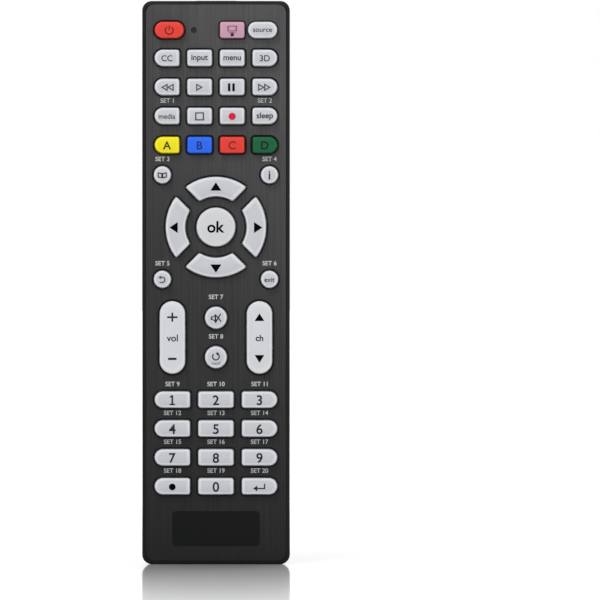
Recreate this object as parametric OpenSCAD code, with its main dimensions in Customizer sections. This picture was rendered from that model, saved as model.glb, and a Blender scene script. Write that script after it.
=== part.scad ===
// Universal remote control, standing upright on its bottom end.
// +X is to the right of the face, -Y comes out of the face, +Z runs up to the infrared end.

/* [Case] */
// Width across the case
body_w = 49; // [46:0.5:60]
// Length of the case
body_h = 187; // [182:1:215]
// Radius of the case's four corners, seen from the front
corner_r = 3.4; // [2.8:0.2:6]
// Wall of the back shell
wall = 1.5; // [1.2:0.1:2]
// Skirt wall of the front shell
skirt_t = 1.2; // [1:0.1:1.5]
// Front wall of the front shell, behind the face plate
face_wall = 1.2; // [1:0.1:2]
// Depth of the seam between the two shells
seam_d = 3.1; // [2.9:0.1:3.3]
// Rim of the front shell round the face plate
rim_w = 1.2; // [0.8:0.1:2]
// Rounding of the two ends, seen from the side
end_r = 2; // [1:0.2:2.6]
// Rounding of the case's front edge
edge_r = 0.8; // [0.4:0.1:1]
// How far each long side draws in from the seam to the back
side_draft = 0.7; // [0.2:0.1:1.2]
// Rounding along the back of the thin part
back_r = 2; // [1:0.2:2.4]

/* [Battery bulge] */
// Rounding of the bulge's long sides
bulge_r = 9.5; // [6:0.5:10]
// Step from the case's side to the bulge's side
bulge_step = 0.5; // [0.3:0.1:1]
// Distance from the cell bay's top to the shoulder of the bulge
shoulder_rise = 12.5; // [11:0.5:18]
// Height of the ramp between shoulder and neck
ramp_h = 12.6; // [8:0.2:20]
// Rounding of the shoulder
shoulder_r = 4; // [2:0.5:6]
// Hollow rounding of the neck
neck_r = 5; // [2:0.5:8]
// Rounding of the bulge's two upper corners, seen from behind
neck_corner_r = 8; // [5:0.5:12]
// Rounding of the bulge's bottom end
heel_r = 7; // [4:0.5:7.5]

/* [Face plate and keys] */
// Thickness of the face plate
plate_t = 0.4; // [0.3:0.1:0.8]
// How far the key crowns stand out of the face
key_h = 2.5; // [1.5:0.1:4]
// Travel of a key
key_travel = 0.8; // [0.4:0.1:1.2]
// Gap between a key and its opening in the front shell
key_gap = 0.3; // [0.25:0.05:0.45]
// Gap between a key and its opening in the face plate
plate_gap = 0.55; // [0.4:0.05:0.7]
// Width of the flange that keeps a key in
flange_w = 0.6; // [0.4:0.05:0.7]
// Thickness of that flange
flange_t = 0.5; // [0.4:0.1:0.8]
// Height of a key in a row
row_key_h = 5.3; // [4.5:0.1:5.8]
// Corner radius of a row key
row_key_r = 0.9; // [0.5:0.1:1.4]
// Radius of the crown along a row key
crown_r = 7; // [5:0.5:14]
// From the case's side to the outer keys
side_margin = 4.25; // [3.9:0.05:5]
// Space between neighbouring media keys
media_space = 2.7; // [2.3:0.1:3.2]
// Space between neighbouring number keys
pad_space = 2.8; // [2.4:0.1:3.6]

/* [Key layout] */
// From the top end to the top row
top_row_drop = 9.8; // [9.4:0.1:10.2]
// Width of the two long keys in the top row
long_key_w = 9.6; // [8.5:0.1:10]
// Height of the last number row
pad_z = 26; // [25:0.1:27]
// Pitch of the number rows, as a share of the way from the last number row up to the top row
pad_share = 0.0633; // [0.0575:0.0001:0.0645]
// Height of the rockers' centre, as such a share
rocker_share = 0.3261; // [0.32:0.0001:0.331]
// Height of the navigation centre, as such a share
nav_share = 0.5681; // [0.56:0.0001:0.58]
// Height of the last media row, as such a share
media_low_share = 0.748; // [0.742:0.0001:0.755]
// Height of the first media row, as such a share
media_top_share = 0.9388; // [0.934:0.0001:0.942]
// Outer radius of the arrow keys
nav_r = 16.6; // [15:0.1:16.8]
// Inner radius of the arrow keys
nav_inner_r = 10.2; // [9.6:0.1:11]
// Bar between neighbouring arrow keys
nav_bar = 4.4; // [3.6:0.1:5.5]
// Diameter of the OK key
ok_d = 12.8; // [11:0.1:13.4]
// Diameter of the four keys round the navigation keys
small_d = 5.6; // [4.5:0.1:6]
// From the case's side to the centres of those four
small_inset = 6.75; // [6.4:0.05:7]
// Rise and drop of those four from the navigation centre, as a share of that way
small_share = 0.1144; // [0.11:0.0001:0.12]
// Width of a rocker
rocker_w = 8.4; // [7:0.1:9]
// Length of a rocker
rocker_l = 24; // [20:0.1:24.5]
// Tilt of a rocker, each way
rocker_tilt = 3; // [1:0.5:3]
// Length of a rocker's side tabs
tab_l = 8; // [5:0.5:10]
// Diameter of the mute and recall keys
mid_d = 7.2; // [6:0.1:8]
// Rise and drop of those two from the rockers' centre
mid_rise = 6.55; // [6:0.05:7]
// Diameter of the indicator lamp
lamp_d = 1.7; // [1.4:0.1:2.4]

/* [Inside] */
// Thickness of the circuit board
board_t = 1; // [0.8:0.1:1.6]
// Gap from the case's outside to the board's edge
board_inset = 2.3; // [2.2:0.1:2.5]
// Room for parts behind the board in the thin part
part_space = 2.5; // [2.4:0.1:4]
// Diameter of the infrared emitter
emitter_d = 3; // [2.5:0.1:3]
// Width of the infrared window
window_w = 14; // [10:0.5:24]
// Depth of the infrared window
window_d = 4.2; // [3.6:0.1:4.2]
// Diameter of the case screw's shank
screw_d = 1.6; // [1.4:0.1:2]
// Diameter of the case screw's head
screw_head_d = 3.4; // [2.8:0.1:3.6]

/* [Cells and door] */
// Diameter of a cell
cell_d = 10.5; // [10:0.1:14.5]
// Length of a cell with its nub
cell_l = 44.5; // [40:0.5:50]
// Height of the bay's lower end
bay_z = 13.5; // [13.2:0.1:14.5]
// Length of a pressed contact spring
spring_l = 5.5; // [5:0.1:8]
// Wire of the contact springs
wire_d = 0.6; // [0.4:0.05:0.6]
// Turns of a contact spring
spring_turns = 4; // [3:0.5:4]
// Thickness of the contact plates
contact_t = 0.4; // [0.3:0.1:0.8]
// Thickness of the battery door
door_t = 1.4; // [1.4:0.1:2]
// Width of the battery door
door_w = 28; // [26:0.5:28]
// Height of the door's hinge axis
hinge_z = 11; // [10.5:0.1:11.4]
// Diameter of the hinge lugs
lug_d = 1; // [0.8:0.1:1]
// Width of the door's thumb latch
latch_w = 11; // [8:0.5:16]
// Length of the door's thumb latch
latch_l = 4.5; // [3.5:0.1:5.5]

/* [Hidden] */
$fn = 64;
// Running clearance of moving pieces, and the small gap of fixed fits
run_gap = 0.25;
fit_gap = 0.1;
// How far a cut runs past the solid that it opens, and how far a joined shape sinks into the next one
past = 1;
root = 0.2;

// Depths behind the front of the face plate, in the order of the stack
wall_back = plate_t + face_wall;
flange_front = wall_back + run_gap;
flange_back = flange_front + flange_t;
board_front = flange_back + key_travel + run_gap;
board_back = board_front + board_t;
deck_gap = 0.2;
deck_t = 1;
deck_front = board_back + deck_gap;
deck_back = deck_front + deck_t;
cell_axis = deck_back + run_gap + cell_d / 2;
door_front = cell_axis + cell_d / 2 + run_gap;
body_d = door_front + door_t;
neck_d = board_back + part_space + wall;
face_y = (key_h - body_d) / 2;

// Cell bay, bulge and neck heights
seat_gap = 0.05;
bay_l = 2 * contact_t + spring_l + cell_l + 2 * seat_gap;
bay_top = bay_z + bay_l;
bay_wall = 1.2;
cell_gap = 0.4;
cell_pitch = cell_d + cell_gap;
bay_w = cell_pitch + cell_d + 2 * run_gap;
shoulder_z = bay_top + shoulder_rise;
neck_z = shoulder_z + ramp_h;
ramp_angle = atan((body_d - neck_d) / ramp_h);
// The hollow at the neck starts a little inside the thin part, so that the two surfaces cross
neck_sink = 0.15;
neck_end = 0.3;
neck_top = neck_z + (neck_r + wall) * tan(ramp_angle / 2) + wall + neck_end;

// Battery door
axis_inset = 0.3;
axis_d = door_front + axis_inset;
door_round = body_d - axis_d;
door_low = hinge_z - door_round;
door_gap = 0.3;
door_lap = 4.7;
door_top = bay_top + door_lap;
door_corner = 2;
lug_l = 1;
ledge_t = 1.8;
frame_w = 1.5;
latch_leg = 1.1;
latch_r = 1;
groove_r = norm([door_round, axis_inset]) + door_gap;

// Key rows
top_row_z = body_h - top_row_drop;
key_span = top_row_z - pad_z;
function height_at(share) = pad_z + share * key_span;
media_top_z = height_at(media_top_share);
media_pitch_z = (media_top_share - media_low_share) * key_span / 3;
nav_z = height_at(nav_share);
small_rise = small_share * key_span;
rocker_z = height_at(rocker_share);
pad_pitch = pad_share * key_span;

// Key columns
media_pitch_x = (body_w - 2 * side_margin + media_space) / 4;
media_key_w = media_pitch_x - media_space;
pad_pitch_x = (body_w - 2 * side_margin + pad_space) / 3;
pad_key_w = pad_pitch_x - pad_space;
long_key_x = body_w / 2 - side_margin - long_key_w / 2;
small_x = body_w / 2 - small_inset;
lamp_space = 3.3;
lamp_collar = 0.35;
lamp_room = 0.35;
lamp_x = -long_key_x + long_key_w / 2 + lamp_space;
function media_x(col) = (col - 1.5) * media_pitch_x;
function media_z(row) = media_top_z - row * media_pitch_z;
function pad_key_x(col) = (col - 1) * pad_pitch_x;
function pad_key_z(row) = pad_z + (3 - row) * pad_pitch;

// A rocker's tabs hang low enough to clear the front wall when it tilts
tab_t = 0.4;
rocker_tab_front = wall_back + run_gap + tab_l / 2 * sin(rocker_tilt);
rocker_back = rocker_tab_front + tab_t;

// Key caps by colour
grey = "#c2c4c8";
pale = "#cfd0d2";

// Every key as [name, outline, x, z, width, height, colour]
MEDIA_NAMES = [
    ["key_cc", "key_input", "key_menu", "key_3d"],
    ["key_rewind", "key_play", "key_pause", "key_forward"],
    ["key_media", "key_stop", "key_record", "key_sleep"],
    ["key_yellow", "key_blue", "key_red", "key_green"]];
COLOUR_ROW = ["#ecd823", "#2d69e8", "#e03c30", "#14644a"];
PAD_NAMES = [
    ["key_1", "key_2", "key_3"],
    ["key_4", "key_5", "key_6"],
    ["key_7", "key_8", "key_9"],
    ["key_dot", "key_0", "key_enter"]];
MEDIA_OUTLINES = ["round left", "rounded", "rounded", "round right"];
PAD_OUTLINES = ["round left", "rounded", "round right"];
TOP_KEYS = [
    ["key_power", "pill", -long_key_x, top_row_z, long_key_w, row_key_h, "#e84132"],
    ["key_set", "rounded", media_x(2), top_row_z, media_key_w, row_key_h, "#d7a5be"],
    ["key_source", "pill", long_key_x, top_row_z, long_key_w, row_key_h, grey]];
MEDIA_KEYS = [for (row = [0:3]) for (col = [0:3])
    [MEDIA_NAMES[row][col], MEDIA_OUTLINES[col], media_x(col), media_z(row), media_key_w, row_key_h,
     row == 3 ? COLOUR_ROW[col] : grey]];
ROUND_KEYS = [
    ["key_guide", "round", -small_x, nav_z + small_rise, small_d, small_d, grey],
    ["key_info", "round", small_x, nav_z + small_rise, small_d, small_d, grey],
    ["key_back", "round", -small_x, nav_z - small_rise, small_d, small_d, grey],
    ["key_exit", "round", small_x, nav_z - small_rise, small_d, small_d, grey],
    ["key_ok", "round", 0, nav_z, ok_d, ok_d, pale],
    ["key_mute", "round", 0, rocker_z + mid_rise, mid_d, mid_d, grey],
    ["key_recall", "round", 0, rocker_z - mid_rise, mid_d, mid_d, grey]];
ARROW_KEYS = [
    ["key_up", "arc", 0, nav_z, 0, 0, grey],
    ["key_left", "arc", 0, nav_z, 90, 0, grey],
    ["key_down", "arc", 0, nav_z, 180, 0, grey],
    ["key_right", "arc", 0, nav_z, 270, 0, grey]];
ROCKERS = [
    ["key_volume", "rocker", -pad_pitch_x, rocker_z, rocker_w, rocker_l, grey],
    ["key_channel", "rocker", pad_pitch_x, rocker_z, rocker_w, rocker_l, grey]];
PAD_KEYS = [for (row = [0:3]) for (col = [0:2])
    [PAD_NAMES[row][col], PAD_OUTLINES[col], pad_key_x(col), pad_key_z(row), pad_key_w, row_key_h, grey]];
KEYS = concat(TOP_KEYS, MEDIA_KEYS, ROUND_KEYS, ARROW_KEYS, ROCKERS, PAD_KEYS);

// An outline drawn in X and Z, made solid between two depths behind the face
module slab(front, back)
    translate([0, face_y + back, 0])
        rotate([90, 0, 0])
            linear_extrude(back - front) children();

// An outline drawn in depth and Z, made solid along X over a width
module across(width)
    translate([0, face_y, 0])
        rotate([90, 0, 90])
            linear_extrude(width, center = true) children();

// An outline drawn in X and depth, made solid along Z between two heights
module upright(low, high)
    translate([0, face_y, low])
        linear_extrude(high - low) children();

// A round outline turned about an axis along the depth; its Y runs out of the face
module turned_about_depth(x, z)
    translate([x, face_y, z])
        rotate([90, 0, 0])
            rotate_extrude() children();

function unit(v) = v / norm(v);

// The corners of an anticlockwise outline after all its edges move inwards by d
function moved_in(p, d) = let (n = len(p)) [for (i = [0:n - 1])
    let (u = unit(p[i] - p[(i + n - 1) % n]), v = unit(p[(i + 1) % n] - p[i]),
         a = [-u[1], u[0]], b = [-v[1], v[0]])
    p[i] + d * (a + b) / (1 + a * b)];

// The sliver between a corner and the arc of radius r that touches both of its edges
module corner_sliver(before, corner, after, r) {
    u = unit(before - corner);
    v = unit(after - corner);
    half = acos(u * v) / 2;
    centre = corner + unit(u + v) * r / sin(half);
    reach = r / tan(half);
    difference() {
        polygon([corner, corner + u * reach, centre, corner + v * reach]);
        translate(centre) circle(r);
    }
}

// An anticlockwise outline of outer corners, moved in by d, with each corner rounded to its own radius
module rounded_outline(points, radii, d = 0) {
    p = moved_in(points, d);
    n = len(p);
    difference() {
        polygon(p);
        for (i = [0:n - 1])
            if (radii[i] > d)
                corner_sliver(p[(i + n - 1) % n], p[i], p[(i + 1) % n], radii[i] - d);
    }
}

function turned(v, a) = [v[0] * cos(a) - v[1] * sin(a), v[0] * sin(a) + v[1] * cos(a)];

// Points on the arc that rounds a corner to radius r, about one for every arc_step degrees
arc_step = 9;
function corner_arc(before, corner, after, r) =
    let (u = unit(before - corner), v = unit(after - corner), half = acos(u * v) / 2,
         centre = corner + unit(u + v) * r / sin(half), start = corner + u * r / tan(half) - centre,
         sweep = sign(cross(v, u)) * (180 - 2 * half), n = ceil(abs(sweep) / arc_step))
    [for (k = [0:n]) centre + turned(start, sweep * k / n)];

// Such an outline with inner corners too, and its arcs drawn as short straight runs. The side of the
// bulge uses it, because its roundings meet those of the bulge's long sides.
function stepped_outline(points, radii, d) = let (p = moved_in(points, d), n = len(p)) [for (i = [0:n - 1])
    let (a = p[(i + n - 1) % n], b = p[i], c = p[(i + 1) % n], r = radii[i] - d * sign(cross(b - a, c - b)))
    each radii[i] > 0 && r > 0 ? corner_arc(a, b, c, r) : [b]];

// A rectangle about its centre with round corners, grown by g: a pill along its top and bottom
module rounded_rect(w, h, r, g = 0) {
    square([w + 2 * g, h - 2 * r], center = true);
    for (z = [-1, 1])
        translate([0, z * (h / 2 - r)]) pill(w, 2 * r, g);
}

// The case seen from the front, moved in by d
module case_front(d)
    translate([0, body_h / 2]) rounded_rect(body_w, body_h, corner_r, -d);

// The whole case moved in by d: the thin slab of full length, and the bulge on its back
module case_form(d) {
    half = body_w / 2;
    bulge_half = half - bulge_step;
    intersection() {
        slab(0, neck_d) case_front(d);
        across(body_w)
            rounded_outline([[0, 0], [neck_d, 0], [neck_d, body_h], [0, body_h]],
                            [end_r, 0, end_r, end_r], d);
        upright(0, body_h)
            rounded_outline([[-half, 0], [half, 0], [half, seam_d], [half - side_draft, neck_d],
                             [side_draft - half, neck_d], [-half, seam_d]],
                            [edge_r, edge_r, 0, back_r, back_r, 0], d);
    }
    intersection() {
        slab(0, body_d) case_front(d);
        slab(0, body_d)
            rounded_outline([[-bulge_half, -heel_r], [bulge_half, -heel_r], [bulge_half, neck_top],
                             [-bulge_half, neck_top]],
                            [0, 0, neck_corner_r, neck_corner_r], d);
        across(body_w)
            polygon(stepped_outline([[seam_d, 0], [body_d, 0], [body_d, shoulder_z],
                                     [neck_d - neck_sink, neck_z + neck_sink / tan(ramp_angle)],
                                     [neck_d - neck_sink, neck_top], [seam_d, neck_top]],
                                    [0, heel_r, shoulder_r, neck_r, 0, 0], d));
        upright(0, body_h)
            rounded_outline([[-bulge_half, seam_d], [bulge_half, seam_d], [bulge_half, body_d],
                             [-bulge_half, body_d]],
                            [0, 0, bulge_r, bulge_r], d);
    }
}

// A box through the case between two depths, to split it
module depth_band(front, back)
    slab(front, back) translate([-body_w, -body_h]) square([2 * body_w, 3 * body_h]);

// A key's outline, grown by g; the arrow keys use their width as a turn in degrees
module key_outline(key, g) {
    w = key[4];
    h = key[5];
    translate([key[2], key[3]]) {
        if (key[1] == "round") circle(w / 2 + g);
        if (key[1] == "rounded") rounded_rect(w, h, row_key_r, g);
        if (key[1] == "pill") pill(w, h, g);
        if (key[1] == "rocker") rotate(90) pill(h, w, g);
        if (key[1] == "round left") mirror([1, 0]) half_pill(w, h, g);
        if (key[1] == "round right") half_pill(w, h, g);
        if (key[1] == "arc") rotate(w) arrow_arc(g);
    }
}

// A lying pill: a rectangle with two half-round ends, grown by g
module pill(w, h, g) {
    square([w - h, h + 2 * g], center = true);
    for (x = [-1, 1])
        translate([x * (w - h) / 2, 0]) circle(h / 2 + g);
}

// A key with a half-round right end and two small corners on the left, grown by g
module half_pill(w, h, g) {
    translate([w / 2 - h / 2, 0]) circle(h / 2 + g);
    translate([-w / 2 + row_key_r, -h / 2 - g]) square([w - h / 2 - row_key_r, h + 2 * g]);
    translate([-w / 2 - g, -h / 2 + row_key_r]) square([row_key_r + 2 * g, h - 2 * row_key_r]);
    for (z = [-1, 1])
        translate([-w / 2 + row_key_r, z * (h / 2 - row_key_r)]) circle(row_key_r + g);
}

// The upper quarter of the navigation ring between two slanting bars, grown by g
module arrow_arc(g) {
    apex = (nav_bar / 2 - g) * sqrt(2);
    intersection() {
        difference() {
            circle(nav_r + g);
            circle(nav_inner_r - g);
        }
        polygon([[0, apex], [2 * nav_r, apex + 2 * nav_r], [-2 * nav_r, apex + 2 * nav_r]]);
    }
}

// The curved front of a key: a bar along X for the row keys, a ball for the round ones,
// a ring for the arrow keys, and two crossed bars for the rockers
module key_crown(key) {
    middle_rise = 0.55;
    ball_r = key[4] * key[4] / (8 * middle_rise);
    arc_mid = (nav_r + nav_inner_r) / 2;
    long_r = 100;
    cross_r = 9;
    if (key[1] == "round")
        turned_about_depth(key[2], key[3])
            intersection() {
                translate([0, key_h - ball_r]) circle(ball_r, $fn = 256);
                translate([0, -body_d]) square([ball_r, 2 * body_d]);
            }
    else if (key[1] == "arc")
        turned_about_depth(key[2], key[3])
            translate([arc_mid, key_h - crown_r]) circle(crown_r);
    else if (key[1] == "rocker")
        intersection() {
            lying_bar(key, long_r);
            translate([key[2], face_y - key_h + cross_r, key[3]])
                cylinder(r = cross_r, h = 2 * key[5], center = true);
        }
    else
        lying_bar(key, crown_r);
}

// A round bar along X that touches the front of a key
module lying_bar(key, r)
    translate([key[2], face_y - key_h + r, key[3]])
        rotate([0, 90, 0]) cylinder(r = r, h = 3 * key[4], center = true);

// A key cap: a crowned column through the openings, and the flange that holds it in.
// A rocker has two side tabs on its tilt axis instead of the flange.
module key_cap(key) color(key[6]) {
    is_rocker = key[1] == "rocker";
    foot = is_rocker ? rocker_back : flange_back;
    intersection() {
        slab(-key_h, foot) key_outline(key, 0);
        key_crown(key);
    }
    if (is_rocker)
        slab(rocker_tab_front, rocker_back)
            translate([key[2], key[3]]) square([key[4] + 2 * flange_w, tab_l], center = true);
    else
        slab(flange_front, flange_back) key_outline(key, flange_w);
}

// All key openings, grown by g
module key_openings(g)
    for (key = KEYS) key_outline(key, g);

// Where the case screw goes in, between the two cells, and the boss that takes it
screw_rise = 5.5;
screw_z = bay_z + screw_rise;
boss_wall = 1;
boss_d = screw_d + 2 * boss_wall;
boss_floor = 0.4;

// The infrared window's place in the top end
window_axis = (board_front + board_back) / 2;
window_r = 1;
window_cut = 4;
module window_outline(g)
    translate([0, window_axis]) rounded_rect(window_w, window_d, window_r, g);

// Front shell: a shallow tray with the key openings, a rim round the face plate and one screw boss
module front_shell() color("#2b2c2e") {
    difference() {
        intersection() {
            case_form(0);
            depth_band(0, seam_d);
        }
        slab(-past, plate_t) case_front(rim_w);
        intersection() {
            case_form(skirt_t);
            depth_band(wall_back, seam_d + past);
        }
        slab(-past, seam_d) key_openings(key_gap);
        slab(-past, seam_d) translate([lamp_x, top_row_z]) circle(lamp_d / 2 + fit_gap);
        upright(body_h - window_cut, body_h + past) window_outline(fit_gap);
    }
    difference() {
        slab(wall_back - root, deck_front - fit_gap) translate([0, screw_z]) circle(boss_d / 2);
        slab(wall_back + boss_floor, deck_front) translate([0, screw_z]) circle(screw_d / 2 + seat_gap);
    }
}

// Face plate: a thin sheet let into the front shell
module face_plate() color("#4a4a4b")
    slab(0, plate_t)
        difference() {
            case_front(rim_w + fit_gap);
            key_openings(plate_gap);
            translate([lamp_x, top_row_z]) circle(lamp_d / 2 + fit_gap);
        }

// The door's place in the back, with its thumb latch, grown by g
module door_outline(g) {
    translate([0, (door_low + door_top) / 2]) rounded_rect(door_w, door_top - door_low, door_corner, g);
    translate([0, door_top]) rounded_rect(latch_w, 2 * latch_l, latch_r, g);
}

// Back shell: thin part, ramp and bulge, with the open cell bay, its door frame, a lip that centres
// the front shell, and four posts behind the board
module back_shell() color("#2f3032") {
    post_inset = 4;
    post_rise = 8;
    post_drop = 24;
    post_x = body_w / 2 - board_inset - post_inset;
    post_r = 1.5;
    low_post = neck_z + post_rise;
    high_post = body_h - post_drop;
    lip_h = 0.8;
    lip_t = 0.7;
    difference() {
        union() {
            difference() {
                case_form(0);
                case_form(wall);
                depth_band(-past, seam_d);
            }
            slab(seam_d - lip_h, seam_d + past)
                difference() {
                    case_front(skirt_t + fit_gap);
                    case_front(skirt_t + fit_gap + lip_t);
                }
            slab(deck_front, door_front - run_gap)
                translate([0, (bay_z + bay_top) / 2])
                    square([bay_w + 2 * bay_wall, bay_l + 2 * bay_wall], center = true);
            slab(door_front - run_gap - ledge_t, body_d - wall + 2 * root)
                translate([0, (door_low + door_top) / 2])
                    square([door_w + 2 * frame_w, door_top - door_low + 2 * frame_w], center = true);
            for (x = [-1, 1], z = [low_post, high_post])
                slab(board_back, neck_d - wall / 2) translate([x * post_x, z]) circle(post_r);
        }
        slab(door_front - run_gap, body_d + past) door_outline(door_gap);
        slab(door_front - latch_leg - run_gap, body_d)
            translate([0, door_top + latch_l / 2 + door_gap])
                square([latch_w, latch_l], center = true);
        slab(deck_back, body_d)
            translate([0, (bay_z + bay_top) / 2]) square([bay_w, bay_l], center = true);
        across(door_w + 2 * door_gap) translate([axis_d, hinge_z]) circle(groove_r);
        across(door_w + 2 * door_gap + 2 * lug_l) translate([axis_d, hinge_z]) circle(lug_d / 2 + run_gap);
        slab(deck_front - past, deck_back + past) translate([0, screw_z]) circle(screw_d / 2 + fit_gap);
        upright(body_h - window_cut, body_h + past) window_outline(fit_gap);
    }
}

// Battery door: a flat cover with a half-round hinge edge, two lugs, and a ribbed thumb latch
module battery_door() color("#2b2c2e") {
    rib_pitch = 1.1;
    rib_groove = [latch_w - 3, 0.8, 0.5];
    first_groove = door_top + latch_l - 1.2;
    leg_size = [latch_w - 4, 1];
    difference() {
        intersection() {
            slab(door_front, body_d) door_outline(0);
            across(door_w) {
                translate([door_front, hinge_z]) square([door_t, door_top + latch_l - hinge_z]);
                intersection() {
                    translate([axis_d, hinge_z]) circle(door_round);
                    translate([door_front, 0]) square([door_t, 2 * hinge_z]);
                }
            }
        }
        for (i = [0:3])
            translate([0, face_y + body_d, first_groove - i * rib_pitch]) cube(rib_groove, center = true);
    }
    slab(door_front - latch_leg, door_front + root)
        translate([0, door_top + latch_l - fit_gap - leg_size[1] / 2]) square(leg_size, center = true);
    across(door_w + 2 * lug_l - 2 * run_gap) translate([axis_d, hinge_z]) circle(lug_d / 2);
}

// The outline shared by the board and the mat
board_rise = 4;
board_low = board_inset + board_rise;
mat_edge = 0.3;
board_high = top_row_z + row_key_h / 2 + flange_w + run_gap + mat_edge;
module board_outline()
    translate([0, (board_low + board_high) / 2])
        rounded_rect(body_w - 2 * board_inset, board_high - board_low, 1.2);

// Keypad mat: a rubber sheet between front shell and board, open under every key
module keypad_mat() color("#3c3d40")
    slab(wall_back + seat_gap, board_front)
        difference() {
            board_outline();
            key_openings(flange_w + run_gap);
            translate([lamp_x, top_row_z]) circle(lamp_d / 2 + lamp_collar + lamp_room);
            translate([0, screw_z]) circle(boss_d / 2 + run_gap);
        }

// Circuit board with the hole for the screw boss
module circuit_board() color("#1f6b3a")
    slab(board_front, board_back)
        difference() {
            board_outline();
            translate([0, screw_z]) circle(boss_d / 2 + run_gap);
        }

// Controller chip: a flat body on two rows of legs
module controller_chip() color("#1b1b1d") {
    chip_w = 10.2;
    chip_h = 7.6;
    chip_t = 2;
    chip_z = neck_z + 24;
    leg_pitch = 1.27;
    leg_w = 0.5;
    leg_top = 1.2;
    foot_l = 1;
    foot_t = 0.25;
    leg_out = 0.15;
    foot_out = 0.05;
    leg_z = chip_h / 2 + leg_out;
    foot_z = leg_z + foot_out + foot_l / 2;
    slab(board_back + fit_gap, board_back + chip_t)
        translate([0, chip_z]) square([chip_w, chip_h], center = true);
    for (i = [-3.5:3.5], side = [-1, 1]) {
        slab(board_back, board_back + leg_top)
            translate([i * leg_pitch, chip_z + side * leg_z]) square(leg_w, center = true);
        slab(board_back, board_back + foot_t)
            translate([i * leg_pitch, chip_z + side * foot_z]) square([leg_w, foot_l], center = true);
    }
}

// Ceramic resonator: a pill of ceramic lying on the board
small_part_z = neck_z + 38;
small_part_x = 9;
module resonator() color("#c8862a") {
    ceramic = [7, 2.8, 2.1];
    slab(board_back, board_back + ceramic[2])
        translate([small_part_x, small_part_z]) pill(ceramic[0], ceramic[1], 0);
}

// Smoothing capacitor: a block between two end caps
module capacitor() color("#b89a6a") {
    place = [-small_part_x, small_part_z];
    block = [4, 2.4, 1.7];
    end_cap = [0.8, 2.6, 1.8];
    slab(board_back + fit_gap, board_back + block[2])
        translate(place) square([block[0], block[1]], center = true);
    for (x = [-1, 1])
        slab(board_back, board_back + end_cap[2])
            translate(place + [x * (block[0] - end_cap[0] / 2) / 2, 0])
                square([end_cap[0], end_cap[1]], center = true);
}

// Indicator lamp: a clear round pipe from the board up to the face
module indicator_lamp() color("#8a2a26") {
    proud = 0.2;
    dome_r = 2 * lamp_d;
    collar_t = 0.6;
    turned_about_depth(lamp_x, top_row_z)
        intersection() {
            translate([0, -board_front]) square([lamp_d / 2, board_front + proud]);
            translate([0, proud - dome_r]) circle(dome_r);
        }
    slab(board_front - collar_t, board_front)
        translate([lamp_x, top_row_z]) circle(lamp_d / 2 + lamp_collar);
}

// Infrared emitter: a round lens on a collar, at the board's top edge
module ir_emitter() color("#3a3350")
    translate([0, face_y + window_axis, board_high])
        rotate_extrude() {
            collar_t = 0.8;
            collar_w = 0.3;
            straight = body_h - wall - run_gap - board_high - emitter_d / 2;
            square([emitter_d / 2 + collar_w, collar_t]);
            square([emitter_d / 2, straight]);
            translate([0, straight]) intersection() {
                circle(emitter_d / 2);
                square(emitter_d / 2);
            }
        }

// Infrared window: a dark see-through bar let into the top end
module ir_window() color("#1a1016")
    upright(body_h - wall, body_h - fit_gap) window_outline(0);

// Two cells, nubs in opposite directions
low_contact = bay_z + contact_t;
module battery_cells() color("#3f6f9f") {
    nub_d = 3.8;
    nub_l = 1;
    can_l = cell_l - nub_l;
    for (side = [-1, 1])
        translate([side * cell_pitch / 2, face_y + cell_axis,
                   side < 0 ? low_contact + spring_l + seat_gap : bay_top - contact_t - spring_l - seat_gap])
            rotate([side < 0 ? 0 : 180, 0, 0])
                rotate_extrude() {
                    edge = 0.6;
                    square([cell_d / 2 - edge, can_l]);
                    translate([0, edge]) square([cell_d / 2, can_l - 2 * edge]);
                    for (z = [edge, can_l - edge])
                        translate([cell_d / 2 - edge, z]) circle(edge);
                    square([nub_d / 2, cell_l]);
                }
}

// Centre line of a contact spring: a cone-shaped helix that narrows towards the cell
spring_base_r = 3.9;
spring_tip_r = 2.6;
function spring_point(t) =
    let (r = spring_base_r + (spring_tip_r - spring_base_r) * t, a = 360 * spring_turns * t)
    [r * cos(a), r * sin(a), wire_d / 2 + seat_gap + (spring_l - wire_d - seat_gap) * t];

// One contact spring: a six-sided wire swept along that line as one closed surface
module contact_spring() {
    sides = 6;
    rings = 8 * spring_turns;
    points = [for (i = [0:rings]) let (t = i / rings, c = spring_point(t), a = 360 * spring_turns * t,
                                       out = [cos(a), sin(a), 0])
        for (s = [0:sides - 1]) c + wire_d / 2 * (cos(360 * s / sides) * out + [0, 0, sin(360 * s / sides)])];
    walls = [for (i = [0:rings - 1], s = [0:sides - 1])
        let (a = i * sides + s, b = i * sides + (s + 1) % sides)
        each [[a, b, b + sides], [a, b + sides, a + sides]]];
    first = [for (s = [1:sides - 2]) [0, s + 1, s]];
    last = [for (s = [1:sides - 2]) [rings * sides, rings * sides + s, rings * sides + s + 1]];
    polyhedron(points, concat(walls, first, last));
}

// The least gap between one turn of a spring and the next, measured on points of its centre line
spring_gap = min([for (i = [0:40]) let (t = i / 40 * (1 - 1 / spring_turns))
    norm(spring_point(t + 1 / spring_turns) - spring_point(t))]) - wire_d;
echo(least_spring_gap = spring_gap);

// Two contact springs, one at each end of the bay
module battery_springs() color("#b8bcc0")
    for (side = [-1, 1])
        translate([side * cell_pitch / 2, face_y + cell_axis, side < 0 ? low_contact : bay_top - contact_t])
            rotate([side < 0 ? 0 : 180, 0, 0]) contact_spring();

// Contact plates: one bridge at the bay's lower end, two single plates at its upper end
module battery_contacts() color("#c4c8cc") {
    plate_edge = 0.7;
    plate_w = 2 * (spring_base_r + plate_edge);
    for (side = [-1, 1])
        translate([side * cell_pitch / 2, face_y + cell_axis, bay_top - contact_t / 2])
            cube([plate_w, plate_w, contact_t], center = true);
    translate([0, face_y + cell_axis, bay_z + contact_t / 2])
        cube([cell_pitch + plate_w, plate_w, contact_t], center = true);
}

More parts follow.
